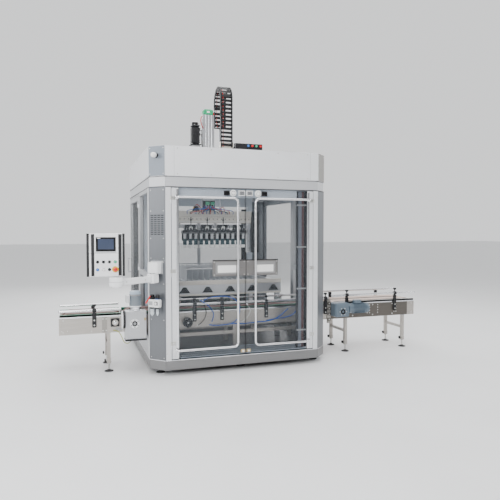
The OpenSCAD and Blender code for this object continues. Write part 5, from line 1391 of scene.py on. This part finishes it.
class PACKER_OT_panel(bpy.types.Operator):
    """Swing arm, panel case, display and push buttons"""

    bl_idname = "packer.panel"
    bl_label = "Operator panel"

    def execute(self, context):
        b = Piece("arm_bracket", "cabinet")
        b.place = corner_frame()
        b.box((-0.066, -0.090, 1.1364), (0.066, -0.006, 1.260), "white_enamel", 0.008)
        b.box((-0.080, -0.0062, 1.128), (0.080, -0.0004, 1.272), "satin_stainless", 0.002)
        for x in (-0.070, 0.070):
            for z in (1.140, 1.260):
                b.screw((x, -0.0062, z), -Y, 0.005, "zinc_screw")
        b.rod((0, -0.075, 1.120), (0, -0.075, 1.1366), 0.020, "chrome")
        b.box((-0.045, -0.0915, 1.160), (0.045, -0.0895, 1.235), "white_enamel", 0.002)
        b.done("hmi_bracket")

        a = Piece("swing_arm", "panel_arm")
        d = ELBOW - PIVOT
        turn = Matrix.Rotation(math.atan2(d.y, d.x), 4, "Z")
        a.place = Matrix.Translation(PIVOT) @ turn
        a.box((-0.045, -0.050, 1.036), (0.055, 0.050, 1.1345), "white_enamel", 0.010)
        a.ring((0, 0, 1.1345), (0, 0, 1.136), 0.034, 0.0206, "black_rubber", 32)
        a.box((0.050, -0.024, 1.050), (d.length, 0.024, 1.116), "white_enamel", 0.006)
        a.box((0.052, -0.030, 1.044), (0.062, 0.030, 1.122), "bright_edge", 0.002)
        for x in (0.15, d.length - 0.12):
            a.screw((x, 0.024, 1.083), Y, 0.005, "zinc_screw", 12)
        a.place = Matrix.Translation(ELBOW)
        a.turned((0, 0, 0), Z, [(0, 1.036), (0.040, 1.036), (0.052, 1.041), (0.062, 1.050), (0.068, 1.062),
                                (0.070, 1.078), (0.070, 1.132),
                                (0.066, 1.140), (0.0245, 1.142), (0.0245, 1.12), (0, 1.12)], "white_enamel",
                                48)
        a.turned((0, 0, 0), Z, [(0.0695, 1.094), (0.0712, 1.094), (0.0712, 1.097), (0.0695, 1.097)],
                 "cast_grey", 48, True)
        a.done("hmi_arm")

        p = Piece("panel_case", "panel_case")
        x0, x1 = PANEL_X - 0.182, PANEL_X + 0.182
        y0, y1, z0, z1 = PANEL_FACE, -1.470, 1.152, 1.576
        p.box((x0 + 0.024, y0, z0), (x1 - 0.024, y1, z1), "white_enamel", 0.005)
        p.box((x0 + 0.024, y0 - 0.0006, 1.382), (x1 - 0.024, y0 + 0.002, 1.384), "anodised_black", 0.0003)
        # grips down both sides
        for gx0, gx1 in ((x0, x0 + 0.0237), (x1 - 0.0237, x1)):
            outline = [(gx0, y0 + 0.010), (gx0 + 0.006, y0 + 0.004), (gx1, y0 + 0.004), (gx1, y1 - 0.010),
                       (gx0 + 0.006, y1 - 0.010), (gx0, y1 - 0.016)]
            if gx0 > PANEL_X:
                outline = [(gx0 + gx1 - q[0], q[1]) for q in outline]
            p.prism(outline, "XY", z0, z1, "black_moulding", 0.003)
            for z in (z0 + 0.004, z1 - 0.012):
                p.box((gx0 - 0.0002, y0 + 0.003, z), (gx1 + 0.0002, y1 - 0.008, z + 0.008), "black_gloss",
                      0.002)
        # inner black strips beside the display field
        for sx0, sx1 in ((x0 + 0.042, x0 + 0.073), (x1 - 0.064, x1 - 0.031)):
            p.box((sx0, y0 - 0.0012, z0 + 0.006), (sx1, y0 + 0.001, z1 - 0.006), "black_moulding", 0.001)
        bx0, bx1, bz0, bz1 = PANEL_X - 0.095, PANEL_X + 0.095, 1.400, 1.540
        p.box((bx0, y0 - 0.004, bz0), (bx1, y0 + 0.002, bz1), "black_gloss", 0.004)
        p.box((bx0 + 0.020, y0 - 0.0048, bz0 + 0.020), (bx1 - 0.020, y0 - 0.0036, bz1 - 0.018),
              "display_glass", 0.0008)
        p.box((bx0 + 0.012, y0 - 0.0044, bz1 - 0.014), (bx0 + 0.042, y0 - 0.0036, bz1 - 0.006),
              "label_blank", 0.0003)
        p.box((bx0 - 0.008, y0 - 0.0012, bz0 - 0.016), (bx1 + 0.006, y0 + 0.001, bz0 - 0.001), "band_steel",
              0.0004)
        for i, (bx, bz) in enumerate(BUTTON_SPOTS):
            if i == 7:
                p.ring((bx, y0 - 0.0022, bz), (bx, y0 + 0.001, bz), 0.031, 0.0085, "yellow_moulding", 48)
                p.ring((bx, y0 - 0.009, bz), (bx, y0 - 0.002, bz), 0.0155, 0.0085, "black_moulding", 32,
                       0.002)
            else:
                p.ring((bx, y0 - 0.0045, bz), (bx, y0 + 0.001, bz), 0.0165, 0.0085, "chrome", 36, 0.0015)
                p.ring((bx, y0 - 0.0052, bz), (bx, y0 - 0.004, bz), 0.0155, 0.0085, "black_moulding", 36,
                       0.0005)
        for x in (x0 + 0.033, x1 - 0.0275):
            for z in (z0 + 0.014, z1 - 0.014):
                p.screw((x, y0, z), -Y, 0.0022, "zinc_screw", 12)
        # back cover with cable entry and cooling ribs
        p.box((x0 + 0.045, y1 - 0.002, z0 + 0.03), (x1 - 0.045, y1 + 0.003, z1 - 0.03), "white_enamel", 0.002)
        for k in range(9):
            p.box((PANEL_X - 0.07, y1 + 0.0025, 1.30 + k * 0.014), (PANEL_X + 0.07, y1 + 0.0055,
                    1.306 + k * 0.014), "cast_grey", 0.001)
        p.rod((ELBOW.x, ELBOW.y, 1.101), (ELBOW.x, ELBOW.y, 1.153), 0.024, "chrome")
        p.done("hmi_case")

        for i, (name, look) in enumerate(BUTTONS):
            bx, bz = BUTTON_SPOTS[i]
            k = Piece("cap_" + name, "push_" + name)
            o = (bx, y0, bz)
            if name == "emergency_stop":
                k.turned(o, -Y, [(0, -0.015), (0.008, -0.015), (0.008, 0.016), (0.012, 0.018),
                                 (0.018, 0.020), (0.020, 0.024), (0.020, 0.030),
                                 (0.017, 0.035), (0.010, 0.0375), (0, 0.038)], look, 40)
            else:
                k.turned(o, -Y, [(0, -0.015), (0.008, -0.015), (0.008, 0.005), (0.0135, 0.0055),
                                 (0.014, 0.007), (0.014, 0.0105), (0.0125, 0.012),
                                 (0.010, 0.0118), (0.006, 0.0112), (0, 0.011)], look, 36)
            k.done(name)
        return {"FINISHED"}


# ---------- air unit ----------


class PACKER_OT_air_unit(bpy.types.Operator):
    """Filter regulator with bowls, shut-off lever and pressure knob"""

    bl_idname = "packer.air_unit"
    bl_label = "Air unit"

    def execute(self, context):
        u = Piece("filter_regulator", "cabinet")
        u.place = corner_frame()
        u.box((-0.072, -0.072, 0.766), (-0.0015, -0.018, 0.853), "white_moulding", 0.006)
        u.box((0.0, -0.072, 0.766), (0.070, -0.018, 0.853), "white_moulding", 0.006)
        u.box((-0.060, -0.018, 0.780), (0.060, -0.0003, 0.840), "satin_stainless", 0.002)
        for x in (-0.037, 0.035):
            u.box((x - 0.024, -0.0735, 0.790), (x + 0.024, -0.0715, 0.832), "cast_grey", 0.001)
        u.ring((-0.092, -0.045, 0.7955), (-0.092, -0.045, 0.8130), 0.0190, 0.0098, "cast_grey", 24, 0.001)
        u.box((-0.1115, -0.0655, 0.8128), (-0.073, -0.0245, 0.8365), "cast_grey", 0.003)
        # bowls with collars and drain
        for x, r, low in ((-0.037, 0.0235, 0.668), (0.034, 0.0150, 0.676)):
            u.turned((x, -0.045, 0), Z, [(0, low), (0.006, low), (0.007, low + 0.010),
                                         (r * 0.7, low + 0.014), (r * 0.95, low + 0.024), (r, low + 0.034),
                                         (r, 0.752), (0, 0.752)], "smoke_bowl", 32)
            u.ring((x, -0.045, 0.748), (x, -0.045, 0.7665), r + 0.002, r * 0.5, "black_moulding", 32, 0.002)
            u.rod((x, -0.045, low + 0.02), (x, -0.045, 0.750), r * 0.45, "white_moulding", n=20)
            for k in range(6):
                a = 2 * math.pi * k / 6
                q = Vector((x + (r + 0.0008) * math.cos(a), -0.045 + (r + 0.0008) * math.sin(a), 0))
                u.rod(q + Z * (low + 0.04), q + Z * 0.748, 0.0016, "black_moulding", n=6)
        # slow-start valve with its coil
        u.box((-0.060, -0.068, 0.8534), (-0.012, -0.022, 0.876), "black_moulding", 0.003)
        u.box((-0.054, -0.062, 0.876), (-0.018, -0.028, 0.905), "black_gloss", 0.004)
        u.box((0.016, -0.068, 0.8534), (0.058, -0.022, 0.8605), "blue_moulding", 0.002)
        u.ring((0.037, -0.045, 0.8534), (0.037, -0.045, 0.862), 0.022, 0.010, "black_moulding", 32)
        u.turned((0.035, -0.0735, 0.811), -Y, [(0, 0), (0.017, 0), (0.018, 0.002), (0.018, 0.006),
                                               (0.016, 0.0075), (0, 0.0075)], "black_moulding", 32)
        u.turned((0.035, -0.0808, 0.811), -Y, [(0, 0), (0.0145, 0), (0.0145, 0.0006), (0, 0.0006)],
                 "label_blank", 28)
        u.rod((0.035, -0.0816, 0.811), (0.044, -0.0816, 0.819), 0.0008, "red_moulding", n=6)
        u.done("air_unit")

        l = Piece("shutoff_handle", "shutoff_lever")
        l.place = corner_frame()
        l.rod((-0.092, -0.0664, 0.816), (-0.092, -0.0755, 0.816), 0.009, "chrome")
        a = math.radians(35)
        side, up = Vector((math.cos(a), 0, -math.sin(a))), Vector((math.sin(a), 0, math.cos(a)))
        o = Vector((-0.092, 0, 0.816))
        outline = [o + side * w + up * h for w, h in ((-0.009, -0.009), (0.009, -0.009), (0.0085, 0.020),
                (0.006, 0.045), (0.0085, 0.075), (0.006, 0.090), (-0.006, 0.090),
                                                      (-0.0085, 0.075), (-0.006, 0.045), (-0.0085, 0.020))]
        l.prism([(q.x, q.z) for q in outline], "XZ", -0.081, -0.0745, "red_moulding", 0.0015)
        l.done("air_lever")

        k = Piece("pressure_cap", "pressure_knob")
        k.place = corner_frame()
        k.turned((0.037, -0.045, 0), Z, [(0, 0.8624), (0.020, 0.8624), (0.021, 0.866), (0.020, 0.898),
                                         (0.018, 0.904), (0.010, 0.908), (0, 0.9095)], "black_moulding", 36)
        for i in range(18):
            t = 2 * math.pi * i / 18
            q = Vector((0.037 + 0.0198 * math.cos(t), -0.045 + 0.0198 * math.sin(t), 0))
            k.rod(q + Z * 0.869, q + Z * 0.896, 0.0016, "black_moulding", n=6)
        k.done("air_knob")
        return {"FINISHED"}


# ---------- sidebar ----------


class PACKER_PT_sidebar(bpy.types.Panel):
    bl_idname = "PACKER_PT_sidebar"
    bl_label = "Packing machine"
    bl_space_type = "VIEW_3D"
    bl_region_type = "UI"
    bl_category = "Packer"

    def draw(self, context):
        s = settings()
        for key in ("steel_color", "header_color", "pane_opacity", "light_power", "eye_height", "lens"):
            self.layout.prop(s, key)
        for op in OPERATORS:
            self.layout.operator(op.bl_idname)


OPERATORS = (
    PACKER_OT_stage,
    PACKER_OT_cords,
    PACKER_OT_cabinet,
    PACKER_OT_doors,
    PACKER_OT_lift,
    PACKER_OT_heads,
    PACKER_OT_conveyor,
    PACKER_OT_panel,
    PACKER_OT_air_unit,
)
CLASSES = (PackerSettings, *OPERATORS, PACKER_PT_sidebar)


def register():
    for c in CLASSES:
        bpy.utils.register_class(c)
    bpy.types.Scene.packer_settings = bpy.props.PointerProperty(type=PackerSettings)


def unregister():
    del bpy.types.Scene.packer_settings
    for c in reversed(CLASSES):
        bpy.utils.unregister_class(c)


def main():
    register()
    make_finishes(settings())
    dress_nodes()
    bpy.ops.packer.stage()
    bpy.ops.packer.cords()
    bpy.ops.packer.cabinet()
    bpy.ops.packer.doors()
    bpy.ops.packer.lift()
    bpy.ops.packer.heads()
    bpy.ops.packer.conveyor()
    bpy.ops.packer.panel()
    bpy.ops.packer.air_unit()


if __name__ == "__main__":
    main()
